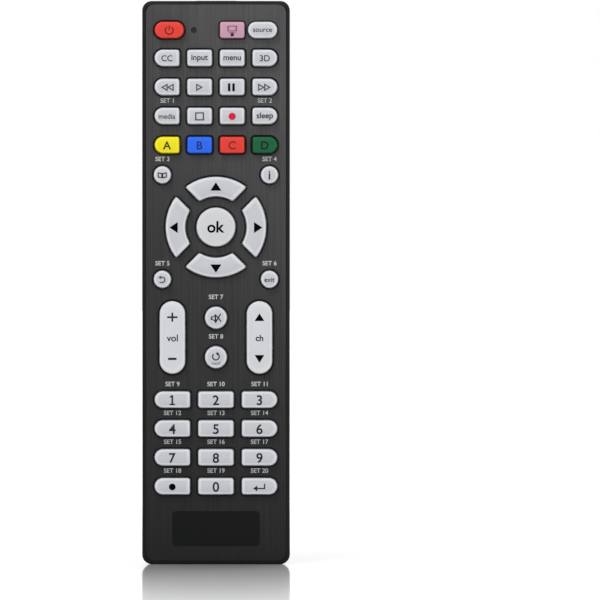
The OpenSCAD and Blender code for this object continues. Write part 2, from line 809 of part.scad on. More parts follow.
// Case screw: a pan head in the bay, its shank in the front shell's boss
module case_screw() color("#a9adb2") {
    head_t = 1.1;
    slot = [2, 1, 0.4];
    tip_gap = 0.2;
    difference() {
        slab(deck_back, deck_back + head_t) translate([0, screw_z]) circle(screw_head_d / 2);
        for (turn = [0, 90])
            translate([0, face_y + deck_back + head_t, screw_z])
                rotate([0, turn, 0]) cube(slot, center = true);
    }
    slab(wall_back + boss_floor + tip_gap, deck_back + root) translate([0, screw_z]) circle(screw_d / 2);
}

front_shell();
face_plate();
back_shell();
battery_door();
keypad_mat();
circuit_board();
controller_chip();
resonator();
capacitor();
indicator_lamp();
ir_emitter();
ir_window();
battery_cells();
battery_springs();
battery_contacts();
case_screw();
for (key = KEYS)
    key_cap(key);
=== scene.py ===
import bmesh
import bpy
import numpy as np
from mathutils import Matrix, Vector


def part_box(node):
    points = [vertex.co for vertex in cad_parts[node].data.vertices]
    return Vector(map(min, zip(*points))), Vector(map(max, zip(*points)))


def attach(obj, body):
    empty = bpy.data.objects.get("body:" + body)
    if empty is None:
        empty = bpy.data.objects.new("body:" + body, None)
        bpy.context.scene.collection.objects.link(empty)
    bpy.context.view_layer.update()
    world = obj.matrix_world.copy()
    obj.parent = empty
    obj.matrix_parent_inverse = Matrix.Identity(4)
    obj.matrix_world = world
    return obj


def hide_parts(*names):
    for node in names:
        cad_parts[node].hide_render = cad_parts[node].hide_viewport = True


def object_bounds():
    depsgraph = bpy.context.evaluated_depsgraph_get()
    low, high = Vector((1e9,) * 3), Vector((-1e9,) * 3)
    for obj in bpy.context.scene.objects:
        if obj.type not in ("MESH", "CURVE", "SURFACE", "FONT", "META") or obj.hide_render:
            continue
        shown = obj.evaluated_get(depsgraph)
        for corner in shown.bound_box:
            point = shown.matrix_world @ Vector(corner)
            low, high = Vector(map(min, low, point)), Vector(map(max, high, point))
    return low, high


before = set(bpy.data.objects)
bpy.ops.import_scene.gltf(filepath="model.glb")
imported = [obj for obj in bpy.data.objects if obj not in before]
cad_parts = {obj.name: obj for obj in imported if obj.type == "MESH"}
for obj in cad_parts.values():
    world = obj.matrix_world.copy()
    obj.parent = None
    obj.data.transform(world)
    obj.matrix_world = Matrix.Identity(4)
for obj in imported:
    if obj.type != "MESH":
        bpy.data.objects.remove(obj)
cad_low, cad_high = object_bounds()

# Front shell
# The front half of the case: a shallow ABS tray with a narrow rim and an opening for every key.
# It comes from a spark-eroded tool, so its skin is an even, fine matt grain.
mm = 0.001
shell_colour = "#0b0c0d"
shell_roughness = 0.46
shell_shine = 0.12
# The real grain is finer than a pixel of the picture, so it is drawn coarse enough to show
grain_size = 0.7 * mm
grain_height = 0.03 * mm
grain_shade = 0.2
cloud_size = 9 * mm
cloud_spread = 0.05
# Nearly all of a noise pattern lies between these two values, so a tone is spread over them
noise_low, noise_high = 0.3, 0.7


def linear(hex_colour):
    """The sRGB curve undone for each channel of a hex colour, with full opacity behind it."""
    srgb = np.array([int(hex_colour[i:i + 2], 16) for i in (1, 3, 5)]) / 255
    straight = srgb / 12.92
    curved = ((srgb + 0.055) / 1.055) ** 2.4
    return (*np.where(srgb <= 0.04045, straight, curved), 1.0)


def feed(material, node, inputs):
    """Sets a node's inputs. One that is a socket, or a node with its first output, is linked."""
    for place, value in inputs.items():
        if isinstance(value, bpy.types.Node):
            value = value.outputs[0]
        if isinstance(value, bpy.types.NodeSocket):
            material.node_tree.links.new(value, node.inputs[place])
        else:
            node.inputs[place].default_value = value


def add_node(material, kind, inputs, **settings):
    """Adds one shader node with its settings, and feeds its inputs."""
    node = material.node_tree.nodes.new(kind)
    for field, value in settings.items():
        setattr(node, field, value)
    feed(material, node, inputs)
    return node


def plain_material(name, **inputs):
    """A material with its Principled shader's own sockets set, and the piece's Object coordinates."""
    material = bpy.data.materials.new(name)
    material.use_nodes = True
    shader = material.node_tree.nodes["Principled BSDF"]
    feed(material, shader, {place.replace("_", " "): value for place, value in inputs.items()})
    return material, shader, add_node(material, "ShaderNodeTexCoord", {}).outputs["Object"]


def moulded_abs(name, colour, roughness, shine):
    """Moulded ABS: a dull skin whose fine grain breaks up the highlight and holds a little shade."""
    material, shader, place = plain_material(
        name, Base_Color=linear(colour), Roughness=roughness, IOR=1.54, Specular_IOR_Level=shine)
    grain = add_node(material, "ShaderNodeTexNoise",
                     {"Vector": place, "Scale": 1 / grain_size, "Detail": 2.0, "Roughness": 0.6})
    cloud = add_node(material, "ShaderNodeTexNoise",
                     {"Vector": place, "Scale": 1 / cloud_size, "Detail": 1.0})
    dull = add_node(material, "ShaderNodeMapRange",
                    {"Value": cloud, "To Min": roughness - cloud_spread, "To Max": roughness + cloud_spread})
    speck = add_node(material, "ShaderNodeMapRange",
                     {"Value": grain, "From Min": noise_low, "From Max": noise_high,
                      "To Min": 1 - grain_shade, "To Max": 1 + grain_shade})
    tone = add_node(material, "ShaderNodeVectorMath", {0: linear(colour)[:3], 1: speck}, operation="MULTIPLY")
    bump = add_node(material, "ShaderNodeBump", {"Height": grain, "Strength": 0.8, "Distance": grain_height})
    feed(material, shader, {"Base Color": tone, "Roughness": dull, "Normal": bump})
    return material


def dress(node, material):
    """Gives a CAD node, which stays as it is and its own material."""
    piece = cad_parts[node]
    piece.data.materials.clear()
    piece.data.materials.append(material)


dress("front_shell", moulded_abs("moulded ABS, black", shell_colour, shell_roughness, shell_shine))

# Face plate
# A thin sheet pressed into the front shell, brushed along its length, with painted light that tones it
# from graphite at the top to near black at the bottom. All the key openings are punched through it.
plate_low, plate_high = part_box("face_plate")
face_y = plate_low.y
plate_t = plate_high.y - plate_low.y
plate_r = 2.1 * mm
plate_edge = 0.06 * mm
plate_gap = 0.7 * mm
# Two keys stand so close together that only a thin web is left between their openings
close_keys = ["key_set", "key_source"]
close_gap = 0.5 * mm
flange_w = 0.6 * mm
row_key_r = 0.6 * mm
nav_r = 16.6 * mm
nav_inner_r = 10.2 * mm
nav_bar = 4.4 * mm
arc_trim = 0.7 * mm
lamp_r = 0.95 * mm
# A parabola that starts this many radii before a corner looks like an arc of that radius
soft_reach = 1.4
# How many points draw each kind of line
line_points = 40
arc_points = 90
run_points = 60
bend_points = 12
key_points = 144
plate_points = 400
sharp_turn = 40

middle_keys = ["key_set", "key_input", "key_menu", "key_play", "key_pause", "key_stop", "key_record",
               "key_blue", "key_red", "key_2", "key_5", "key_8", "key_0"]
left_keys = ["key_cc", "key_rewind", "key_media", "key_yellow", "key_1", "key_4", "key_7", "key_dot"]
right_keys = ["key_3d", "key_forward", "key_sleep", "key_green", "key_3", "key_6", "key_9", "key_enter"]
pill_keys = ["key_power", "key_source"]
round_keys = ["key_guide", "key_info", "key_back", "key_exit", "key_ok", "key_mute", "key_recall"]
arrow_keys = ["key_up", "key_left", "key_down", "key_right"]
rocker_keys = ["key_volume", "key_channel"]
all_keys = middle_keys + left_keys + right_keys + pill_keys + round_keys + arrow_keys + rocker_keys


def middle(node):
    """The middle of a CAD node's box, seen from the front, as x and z."""
    low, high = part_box(node)
    return np.array([(low.x + high.x) / 2, (low.z + high.z) / 2])


def size(node):
    """A key's width and height over the face: its box without the flange, or a rocker's two side tabs."""
    low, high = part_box(node)
    flange = np.array([flange_w, 0 if node in rocker_keys else flange_w])
    return np.array([high.x - low.x, high.z - low.z]) - 2 * flange


def line(start, end):
    """Points evenly spaced from start to end."""
    return np.linspace(start, end, line_points)


def arc(centre, radius, first, last):
    """Points on a circle from one angle in degrees to another."""
    angle = np.radians(np.linspace(first, last, arc_points))
    return np.array(centre) + radius * np.column_stack([np.cos(angle), np.sin(angle)])


def circle(centre, radius):
    """A closed loop of points on a circle."""
    return arc(centre, radius, 0, 360)[:-1]


def turned(points, degrees):
    """Points turned anticlockwise about the origin."""
    angle = np.radians(degrees)
    return points @ np.array([[np.cos(angle), np.sin(angle)], [-np.sin(angle), np.cos(angle)]])


def along(path, start, end, count):
    """Points at even distances along a path, from start past its beginning to end before its end."""
    steps = np.linalg.norm(np.diff(path, axis=0), axis=1)
    travelled = np.concatenate([[0], np.cumsum(steps)])
    stops = np.linspace(start, travelled[-1] - end, count)
    return np.column_stack([np.interp(stops, travelled, path[:, 0]), np.interp(stops, travelled, path[:, 1])])


def soft_loop(edges, trims, count):
    """A closed loop of edges. At each corner both edges stop short by its trim, and a parabola that has
    the corner as its control point joins them. The loop comes back as evenly spaced points."""
    bend = np.linspace(0, 1, bend_points + 2)[1:-1, None]
    runs = []
    for i, edge in enumerate(edges):
        after = edges[(i + 1) % len(edges)]
        end_trim = trims[(i + 1) % len(edges)]
        run = along(edge, trims[i], end_trim, run_points)
        start = along(after, end_trim, 0, 2)[0]
        corner = edge[-1]
        curve = (1 - bend) ** 2 * run[-1] + 2 * bend * (1 - bend) * corner + bend ** 2 * start
        runs += [run, curve]
    loop = np.concatenate(runs)
    return along(np.concatenate([loop, loop[:1]]), 0, 0, count + 1)[:-1]


def soft_polygon(corners, radii, count):
    """A closed loop of straight edges through corners, each corner rounded to about its own radius."""
    edges = [line(corner, after) for corner, after in zip(corners, np.roll(corners, -1, axis=0))]
    return soft_loop(edges, soft_reach * np.array(radii), count)


def box_corners(centre, span):
    """The corners of a rectangle about a centre, anticlockwise from the lower right."""
    return np.array(centre) + np.array(span) / 2 * np.array([[1, -1], [1, 1], [-1, 1], [-1, -1]])


def soft_box(centre, span, radius, count):
    """A rectangle about a centre with its corners rounded to about one radius."""
    return soft_polygon(box_corners(centre, span), [radius] * 4, count)


def bridged(one, other):
    """The edges of a loop: two open curves, joined end to start by straight lines."""
    return [one, line(one[-1], other[0]), other, line(other[-1], one[0])]


def bar_loop(low, high, round_start, round_end):
    """A bar between two opposite corners. Each end is half a circle, or straight with two soft corners."""
    (left, bottom), (right, top) = low, high
    r, z = (top - bottom) / 2, (top + bottom) / 2
    start = arc([left + r, z], r, 90, 270) if round_start else line([left, top], [left, bottom])
    end = arc([right - r, z], r, -90, 90) if round_end else line([right, bottom], [right, top])
    trims = np.repeat([0 if round_end else row_key_r, 0 if round_start else row_key_r], 2)
    return soft_loop(bridged(end, start), soft_reach * trims, key_points)


def arrow_loop(node):
    """A quarter of the navigation ring. Its two straight ends lie along the slanting bars, half a bar's
    width from lines at 45 degrees through the ring's middle."""
    spread = [45 - np.degrees(np.arcsin(nav_bar / 2 / r)) for r in (nav_r, nav_inner_r)]
    outer = arc([0, 0], nav_r, 90 - spread[0], 90 + spread[0])
    inner = arc([0, 0], nav_inner_r, 90 + spread[1], 90 - spread[1])
    loop = soft_loop(bridged(outer, inner), [arc_trim] * 4, key_points)
    return middle("key_ok") + turned(loop, 90 * arrow_keys.index(node))


def key_loop(node):
    """A key's outline on the face, anticlockwise as seen from the front, as x and z."""
    centre, half = middle(node), size(node) / 2
    r = half[0]
    if node in arrow_keys:
        return arrow_loop(node)
    if node in rocker_keys:
        rise = np.array([0, half[1] - r])
        ends = bridged(arc(centre + rise, r, 0, 180), arc(centre - rise, r, 180, 360))
        return soft_loop(ends, [0] * 4, key_points)
    if node in round_keys:
        return soft_loop([arc(centre, r, 0, 180), arc(centre, r, 180, 360)], [0, 0], key_points)
    round_start, round_end = node in left_keys + pill_keys, node in right_keys + pill_keys
    return bar_loop(centre - half, centre + half, round_start, round_end)


def left_of(run):
    """The unit vectors that point to the left of each step of a run."""
    return np.column_stack([-run[:, 1], run[:, 0]]) / np.linalg.norm(run, axis=1, keepdims=True)


def outward(loop):
    """The unit vectors that point out of an anticlockwise loop, square to the line between neighbours."""
    return -left_of(np.roll(loop, -1, axis=0) - np.roll(loop, 1, axis=0))


def vertex_places(mesh):
    """The places of a mesh's vertices, one row each."""
    places = np.empty(3 * len(mesh.vertices))
    mesh.vertices.foreach_get("co", places)
    return places.reshape(-1, 3)


def taken_mesh(holder):
    """The mesh of a text or curve object, as arrays. The object itself is removed."""
    bpy.context.scene.collection.objects.link(holder)
    bpy.context.view_layer.update()
    mesh = bpy.data.meshes.new_from_object(holder.evaluated_get(bpy.context.evaluated_depsgraph_get()))
    points = vertex_places(mesh)
    faces = [tuple(face.vertices) for face in mesh.polygons]
    bpy.data.objects.remove(holder)
    bpy.data.meshes.remove(mesh)
    return points, faces


def flat_mesh(loops, extrude=0.0, bevel=0.0):
    """Loops of x and z filled as one flat sheet, with holes where a loop lies inside another, and then the
    vertices and faces of that sheet. Its third coordinate is its thickness, about zero."""
    curve = bpy.data.curves.new("flat", "CURVE")
    curve.dimensions = "2D"
    curve.fill_mode = "BOTH"
    curve.extrude = extrude
    curve.bevel_depth = bevel
    curve.bevel_resolution = 2
    for loop in loops:
        spline = curve.splines.new("POLY")
        spline.points.add(len(loop) - 1)
        spline.points.foreach_set("co", np.column_stack([loop, 0 * loop[:, 0], 0 * loop[:, 0] + 1]).ravel())
        spline.use_cyclic_u = True
    return taken_mesh(bpy.data.objects.new("flat", curve))


def facing(points, depth):
    """Flat points turned upright: x stays, y becomes z, and the thickness goes into the case at a depth."""
    return np.column_stack([points[:, 0], depth - points[:, 2], points[:, 1]])


def shade(mesh, sharp):
    """Shades a mesh smooth except over edges that turn by more than sharp degrees."""
    mesh.shade_smooth()
    mesh.set_sharp_from_angle(angle=np.radians(sharp))


def new_piece(name, points, faces, material):
    """A mesh object at the origin, with its faces shaded over all but sharp edges."""
    mesh = bpy.data.meshes.new(name)
    mesh.from_pydata(points.tolist(), [], faces)
    mesh.materials.append(material)
    shade(mesh, sharp_turn)
    piece = bpy.data.objects.new(name, mesh)
    bpy.context.scene.collection.objects.link(piece)
    return piece


def put_in_place(piece, node, body):
    """The piece stands in for a CAD node, which is hidden, and rides on a body."""
    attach(piece, body)
    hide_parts(node)


# The plate's tone is painted light: lighter at the top, near black at the bottom, and darker to the left the
# higher up
plate_painted_light_tones = [(0.0, "#1a1a1b"), (0.45, "#2e2e2f"), (1.0, "#49494a")]
painted_light_slant = 1.5
brush_line = 0.32 * mm
brush_length = 45 * mm
brush_depth = 0.01 * mm
brush_shade = 0.22


def brushed_plate():
    """Brushed, lacquered sheet: long fine streaks along the plate, and painted light: a tone that falls off
    downwards and, the more the higher up, to the left."""
    material, shader, place = plain_material("brushed sheet, graphite", Roughness=0.42, IOR=1.5,
                                             Specular_IOR_Level=0.12)
    axes = add_node(material, "ShaderNodeSeparateXYZ", {"Vector": place}).outputs
    slant = add_node(material, "ShaderNodeMath", {0: axes["X"], 1: axes["Z"]}, operation="MULTIPLY")
    height = add_node(material, "ShaderNodeMath", {0: slant, 1: painted_light_slant / plate_high.z, 2: axes["Z"]},
                      operation="MULTIPLY_ADD")
    share = add_node(material, "ShaderNodeMapRange",
                     {"Value": height, "From Min": plate_low.z, "From Max": plate_high.z})
    tone = add_node(material, "ShaderNodeValToRGB", {"Fac": share})
    tone.color_ramp.elements.new(plate_painted_light_tones[1][0])
    for stop, (place_on_ramp, colour) in zip(tone.color_ramp.elements, plate_painted_light_tones):
        stop.position = place_on_ramp
        stop.color = linear(colour)
    stretched = add_node(material, "ShaderNodeMapping",
                         {"Vector": place, "Scale": (1 / brush_line, 1 / brush_line, 1 / brush_length)})
    streaks = add_node(material, "ShaderNodeTexNoise", {"Vector": stretched, "Scale": 1.0, "Detail": 3.0})
    light = add_node(material, "ShaderNodeMapRange",
                     {"Value": streaks, "From Min": noise_low, "From Max": noise_high,
                      "To Min": 1 - brush_shade, "To Max": 1 + brush_shade})
    mixed = add_node(material, "ShaderNodeVectorMath", {0: tone, 1: light}, operation="MULTIPLY")
    bump = add_node(material, "ShaderNodeBump", {"Height": streaks, "Strength": 0.2, "Distance": brush_depth})
    feed(material, shader, {"Base Color": mixed, "Normal": bump})
    return material


plate_size = [plate_high.x - plate_low.x, plate_high.z - plate_low.z]
plate_loop = soft_box(middle("face_plate"), plate_size, plate_r, plate_points)
openings = [plate_loop - plate_edge * outward(plate_loop)]
for node in all_keys:
    loop = key_loop(node)
    gap = close_gap if node in close_keys else plate_gap
    openings.append(loop + (gap + plate_edge) * outward(loop))
openings.append(circle(middle("indicator_lamp"), lamp_r + plate_edge))
points, faces = flat_mesh(openings, extrude=plate_t / 2 - plate_edge, bevel=plate_edge)
face_plate = new_piece("face_plate_sheet", facing(points, face_y + plate_t / 2), faces, brushed_plate())
put_in_place(face_plate, "face_plate", "case")

# Key caps
# Each cap is one ABS moulding with a crowned front, a softly rounded edge and a flange behind the front
# shell that keeps it in. The grey caps are sprayed satin silver, the others moulded in their own colour.
key_edge = 0.55 * mm
edge_rings = 8
crown_rings = 12
flange_t = 0.5 * mm
neck_rise = 0.2 * mm
tab_half = 4 * mm
tab_end = 0.4 * mm
least_flange = 0.03
crown_r = 7 * mm
middle_rise = 0.55 * mm
rocker_long_r = 100 * mm
rocker_cross_r = 9 * mm
peel_size = 0.6 * mm
peel_depth = 0.01 * mm
# The caps' rounded edges get a painted highlight: a paler base colour, weaker on the ring after the edge
half_edge_highlight = 0.45
silver_edge_highlight_gain = 1.25
edge_highlight_gain = 1.1
key_colours = {"key_power": ("#d03c31", "key_power_red"), "key_set": ("#b890a1", "key_pink"),
               "key_yellow": ("#e0d21a", "key_yellow"), "key_blue": ("#2660da", "key_blue"),
               "key_red": ("#cf392f", "key_red"), "key_green": ("#045231", "key_green"),
               "key_ok": ("#c3c4c6", "key_pale")}
silver = ("#babcc0", "key_grey")
# The rockers take the grey keys' silver made paler: a painted highlight on their flatter faces
rocker_highlit_silver = ("#c6c8cb", "key_grey")


def sag(offset, radius):
    """How far a circle falls back from its foremost point, at an offset to the side of that point."""
    return radius - np.sqrt(np.maximum(radius ** 2 - offset ** 2, 0))


def crown(node, x, z):
    """The depth of a key's front at x and z: a bar along the row keys, a ball on the round keys, a ring
    on the arrow keys, and two crossed bars, softly joined, on the rockers."""
    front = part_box(node)[0].y
    centre_x, centre_z = middle(node)
    if node in round_keys:
        radius = size(node)[0] ** 2 / (8 * middle_rise)
        return front + sag(np.hypot(x - centre_x, z - centre_z), radius)
    if node in arrow_keys:
        from_ok = np.hypot(x - middle("key_ok")[0], z - middle("key_ok")[1])
        return front + sag(from_ok - (nav_r + nav_inner_r) / 2, crown_r)
    if node in rocker_keys:
        bars = sag(x - centre_x, rocker_cross_r) ** 3 + sag(z - centre_z, rocker_long_r) ** 3
        return front + np.cbrt(bars)
    return front + sag(z - centre_z, crown_r)


def quarter_round(count):
    """Steps over a quarter of a circle, as what each has gone inward and what it is short of the top."""
    step = np.radians(np.linspace(0, 90, count))
    return np.column_stack([1 - np.cos(step), 1 - np.sin(step)])


def ring_points(rows, depths):
    """Rings of x and z, each with one depth or a depth for every point, as rows of x, y and z."""
    flat = np.concatenate(rows)
    deep = np.concatenate([np.broadcast_to(depth, len(row)) for row, depth in zip(rows, depths)])
    return np.column_stack([flat[:, 0], deep, flat[:, 1]])


def ring_quads(rings, count):
    """Quads between each ring of points and the next."""
    ring, step = np.meshgrid(np.arange(rings - 1), np.arange(count), indexing="ij")
    first, second = ring * count + step, ring * count + (step + 1) % count
    return np.stack([first, second, second + count, first + count], axis=-1).reshape(-1, 4).tolist()


def capped_rings(rows, depths, tip):
    """Rings joined by quads, with the last one closed by a fan to a tip."""
    rings = ring_points(rows, depths)
    count = len(rows[0])
    last = len(rings) - count + np.arange(count)
    fan = np.stack([last, np.roll(last, -1), np.full(count, len(rings))], axis=-1)
    return np.vstack([rings, tip]), ring_quads(len(rows), count) + fan.tolist()


def flange_share(node, loop):
    """One all round a key, but only beside the middle of a rocker, so that its two ends are free to tilt."""
    if node not in rocker_keys:
        return np.ones((len(loop), 1))
    from_middle = np.abs(loop[:, 1:] - middle(node)[1])
    return np.clip((tab_half - from_middle) / tab_end, least_flange, 1)


def key_cap(node, material):
    """Rings that follow the key's outline: round the flange, up the side, over a quarter-round edge and
    across the crown to its middle. The edge rings carry the value 1 in the attribute for the painted
    highlight."""
    loop = key_loop(node)
    normal = outward(loop)
    centre = loop.mean(axis=0)
    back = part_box(node)[1].y
    flange_front = back - flange_t
    inner = loop - key_edge * normal
    edge_y = crown(node, *inner.T)
    flange = loop + flange_w * flange_share(node, loop) * normal
    rows = [flange, flange, loop, loop]
    depths = [back, flange_front, flange_front, flange_front - neck_rise]
    for inward, short in quarter_round(edge_rings):
        rows.append(loop - key_edge * inward * normal)
        depths.append(edge_y + key_edge * short)
    edge_end = len(rows)
    for share in np.linspace(0, 1, crown_rings + 2)[1:-1]:
        rows.append(inner + share * (centre - inner))
        depths.append(crown(node, *rows[-1].T))
    painted_edge_highlight = np.zeros(len(rows))
    painted_edge_highlight[:edge_end] = 1
    painted_edge_highlight[edge_end] = half_edge_highlight
    points, faces = capped_rings(rows, depths, [centre[0], crown(node, *centre), centre[1]])
    cap = new_piece(node + "_cap", points, faces + [list(range(len(loop)))[::-1]], material)
    edge_highlight_values = cap.data.attributes.new("painted_edge_highlight", "FLOAT", "POINT")
    edge_highlight_values.data.foreach_set("value", np.append(np.repeat(painted_edge_highlight, len(loop)), 0.0))
    return cap


def key_paint(name, colour, gain):
    """Satin finish on a key cap: a broad soft highlight, a trace of orange peel, and a painted highlight:
    a base colour made paler on the rounded edge."""
    material, shader, place = plain_material(
        name, Base_Color=linear(colour), Roughness=0.38, IOR=1.5, Specular_IOR_Level=0.2)
    peel = add_node(material, "ShaderNodeTexNoise", {"Vector": place, "Scale": 1 / peel_size, "Detail": 1.0})
    bump = add_node(material, "ShaderNodeBump", {"Height": peel, "Strength": 0.25, "Distance": peel_depth})
    rim = add_node(material, "ShaderNodeAttribute", {}, attribute_name="painted_edge_highlight").outputs["Fac"]
    paler = add_node(material, "ShaderNodeMapRange", {"Value": rim, "To Min": 1.0, "To Max": gain})
    tone = add_node(material, "ShaderNodeVectorMath", {0: linear(colour)[:3], 1: paler}, operation="MULTIPLY")
    feed(material, shader, {"Base Color": tone, "Normal": bump})
    return material


paints = {}
for node in all_keys:
    colour, slot = key_colours.get(node, rocker_highlit_silver if node in rocker_keys else silver)
    if colour not in paints:
        name = slot.removeprefix("key_").replace("_", " ")
        gain = silver_edge_highlight_gain if colour == silver[0] else edge_highlight_gain
        paints[colour] = key_paint(f"satin key, {name}", colour, gain)
    put_in_place(key_cap(node, paints[colour]), node, node)

# Key legends
# Ink printed on the crowns with a soft pad: digits, letters and the usual symbols. Each print is a thin
# film that is cut fine enough to lie on its crown.
film = 0.02 * mm
film_step = 0.35 * mm
merge_reach = 0.0001 * mm
line_w = 0.42 * mm
thin_w = 0.3 * mm
cap_share = 0.73
word_h = 1.7 * mm
digit_h = 3.3 * mm
letter_h = 2.7 * mm
broad_word_h = 1.95 * mm
word_bold = 0.03 * mm
broad_bold = 0.05 * mm
digit_bold = 0.08 * mm
ok_bold = 0.12 * mm
arrow_sign_r = 13.6 * mm
side_sign_r = 14.0 * mm
arrow_sign_size = [3.65 * mm, 2.75 * mm]
# Prints sit a little below the middles of their keys, apart from the one on the ok key
print_drop = np.array([0, 0.2 * mm])
ink_patch = 0.8 * mm


def words(text, cap_height, bold=word_bold):
    """Letters of the built-in typeface at a cap height, made bolder, centred on their own box."""
    curve = bpy.data.curves.new("words", "FONT")
    curve.body = text
    curve.size = cap_height / cap_share
    curve.offset = bold
    points, faces = taken_mesh(bpy.data.objects.new("words", curve))
    return points - (points.min(axis=0) + points.max(axis=0)) / 2, faces


def stroke(path):
    """A line's width about an open path: its left side forwards and its right side backwards."""
    side = left_of(np.gradient(path, axis=0)) * line_w / 2
    return flat_mesh([np.concatenate([path + side, (path - side)[::-1]])])


def triangle(w, h, turn):
    """A triangle that points up, about its middle, turned anticlockwise by some degrees."""
    return turned(np.array([[-w / 2, -h / 2], [w / 2, -h / 2], [0, h / 2]]), turn)


def arrowhead(w, h, turn):
    """A filled triangle."""
    return flat_mesh([triangle(w, h, turn)])


def hollow(loop, width=line_w):
    """A loop with the same loop inside it, drawn in about its middle by a line's width."""
    centre = loop.mean(axis=0)
    normal = left_of(np.roll(loop, -1, axis=0) - loop)
    reach = np.abs(((centre - loop) * normal).sum(axis=1)).min()
    return flat_mesh([loop, centre + (loop - centre) * (1 - width / reach)])


def block(w, h):
    """A filled rectangle about its middle."""
    return flat_mesh([box_corners([0, 0], [w, h])])


def disc(d):
    """A filled circle about its middle."""
    return flat_mesh([circle([0, 0], d / 2)])


def joined(*parts):
    """Flat sheets, each with its own shift in x and z, as one sheet."""
    points, faces, count = [], [], 0
    for (sheet, sheet_faces), x, z in parts:
        points.append(sheet + np.array([x, z, 0]))
        faces += [tuple(corner + count for corner in face) for face in sheet_faces]
        count += len(sheet)
    return np.concatenate(points), faces


def cut_fine(points, faces, step):
    """A flat sheet cut along a lattice of lines, one step apart, so that it can bend."""
    mesh = bpy.data.meshes.new("film")
    mesh.from_pydata(points.tolist(), [], faces)
    sheet = bmesh.new()
    sheet.from_mesh(mesh)
    bmesh.ops.remove_doubles(sheet, verts=sheet.verts[:], dist=merge_reach)
    for axis in (0, 1):
        for level in np.arange(points[:, axis].min(), points[:, axis].max(), step)[1:]:
            bmesh.ops.bisect_plane(sheet, geom=sheet.verts[:] + sheet.edges[:] + sheet.faces[:],
                                   plane_co=level * np.eye(3)[axis], plane_no=np.eye(3)[axis])
    sheet.to_mesh(mesh)
    sheet.free()
    return mesh


def print_on(name, body, sheet, ink, x=0.0, z=0.0, step=film_step):
    """A sheet shifted to its place and laid on a key's crown or, as part of the case, on the flat face."""
    mesh = cut_fine(*sheet, step)
    across, up = vertex_places(mesh)[:, :2].T + [[x], [z]]
    depth = np.full(len(up), face_y) if body == "case" else crown(body, across, up)
    mesh.vertices.foreach_set("co", np.column_stack([across, depth - film, up]).ravel())
    mesh.materials.append(ink)
    piece = bpy.data.objects.new(name + "_print", mesh)
    bpy.context.scene.collection.objects.link(piece)
    thick = piece.modifiers.new("film", "SOLIDIFY")
    thick.thickness = 2 * film
    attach(piece, body)


def uneven_gloss(name, colour, patch, low, high, **inputs):
    """One colour whose roughness wanders between two values, in patches of a given size."""
    material, shader, place = plain_material(name, Base_Color=linear(colour), **inputs)
    patches = add_node(material, "ShaderNodeTexNoise", {"Vector": place, "Scale": 1 / patch})
    gloss = add_node(material, "ShaderNodeMapRange", {"Value": patches, "To Min": low, "To Max": high})
    feed(material, shader, {"Roughness": gloss})
    return material


def print_ink(name, colour, shine=0.15):
    """Pad-printing ink: flat, nearly matt, with a slightly uneven gloss."""
    return uneven_gloss(name, colour, ink_patch, 0.5, 0.7, IOR=1.5, Specular_IOR_Level=shine)


open_head = hollow(triangle(2.6 * mm, 2.3 * mm, -90))
open_back = hollow(triangle(2.6 * mm, 2.3 * mm, 90))
pause_bar = block(0.8 * mm, 2.6 * mm)
power_sign = joined((stroke(arc([0, 0], 1.3 * mm, 125, 415)), 0, 0),
                    (block(line_w, 1.5 * mm), 0, 0.9 * mm))
screen_sign = joined((hollow(box_corners([0, 0], [3.2 * mm, 1.9 * mm]), thin_w), 0, 0),
                     (block(2.2 * mm, 0.25 * mm), 0, -1.3 * mm))
page_w = 0.32 * mm
book_page = np.array([[0, -1.0], [1.5, -0.7], [1.5, 1.0], [0, 0.7]]) * mm
left_page = (book_page * [-1, 1])[::-1]
book_sign = joined((hollow(book_page, page_w), 0, 0), (hollow(left_page, page_w), 0, 0))
return_sign = joined((stroke(arc([0, 0], 0.85 * mm, -90, 120)), 0, 0),
                     (arrowhead(1.3 * mm, 1.0 * mm, 90), -0.8 * mm, 0.75 * mm),
                     (block(0.9 * mm, line_w), -0.45 * mm, -0.85 * mm))
speaker = np.array([[-1.5, -0.6], [-0.8, -0.6], [0.3, -1.5], [0.3, 1.5], [-0.8, 0.6], [-1.5, 0.6]]) * mm
mute_sign = joined((hollow(speaker, thin_w), -0.2 * mm, 0),
                   (stroke(line([-0.2 * mm, -1.5 * mm], [1.6 * mm, 1.5 * mm])), 0, 0),
                   (stroke(line([0.2 * mm, 0.9 * mm], [1.7 * mm, -1.1 * mm])), 0, 0))
recall_sign = joined((stroke(arc([0, 0], 1.1 * mm, -230, 60)), 0, 0.4 * mm),
                     (arrowhead(1.2 * mm, 1.0 * mm, 55), 0.35 * mm, 1.5 * mm),
                     (words("recall", 1.0 * mm, 0.0), 0, -1.75 * mm))
enter_sign = joined((block(line_w, 1.4 * mm), 1.7 * mm, 0.41 * mm),
                    (block(2.6 * mm, line_w), 0.61 * mm, -0.5 * mm),
                    (arrowhead(1.9 * mm, 1.4 * mm, 90), -1.4 * mm, -0.5 * mm))
plus_arm = block(0.6 * mm, 1.2 * mm)
plus_sign = joined((block(3.4 * mm, 0.6 * mm), 0, 0), (plus_arm, 0, 0.9 * mm), (plus_arm, 0, -0.9 * mm))
minus_sign = block(2.8 * mm, 0.75 * mm)
rocker_rise = 6.9 * mm
vol_sign = joined((plus_sign, 0, rocker_rise), (words("vol", 2.3 * mm, 0.05 * mm), 0, 0),
                  (minus_sign, 0, -rocker_rise))
ch_sign = joined((arrowhead(3.2 * mm, 2.5 * mm, 0), 0, rocker_rise), (words("ch", 2.1 * mm, 0.06 * mm), 0, 0),
                 (arrowhead(3.2 * mm, 2.5 * mm, 180), 0, -rocker_rise))
one_flag = np.array([[-0.28, 1.65], [0.28, 1.65], [-0.28, 1.05], [-0.85, 0.75], [-0.85, 1.2]]) * mm
one_sign = joined((block(0.56 * mm, 2.8 * mm), 0, 0.25 * mm), (block(1.8 * mm, 0.5 * mm), 0, -1.4 * mm),
                  (flat_mesh([one_flag]), 0, 0))

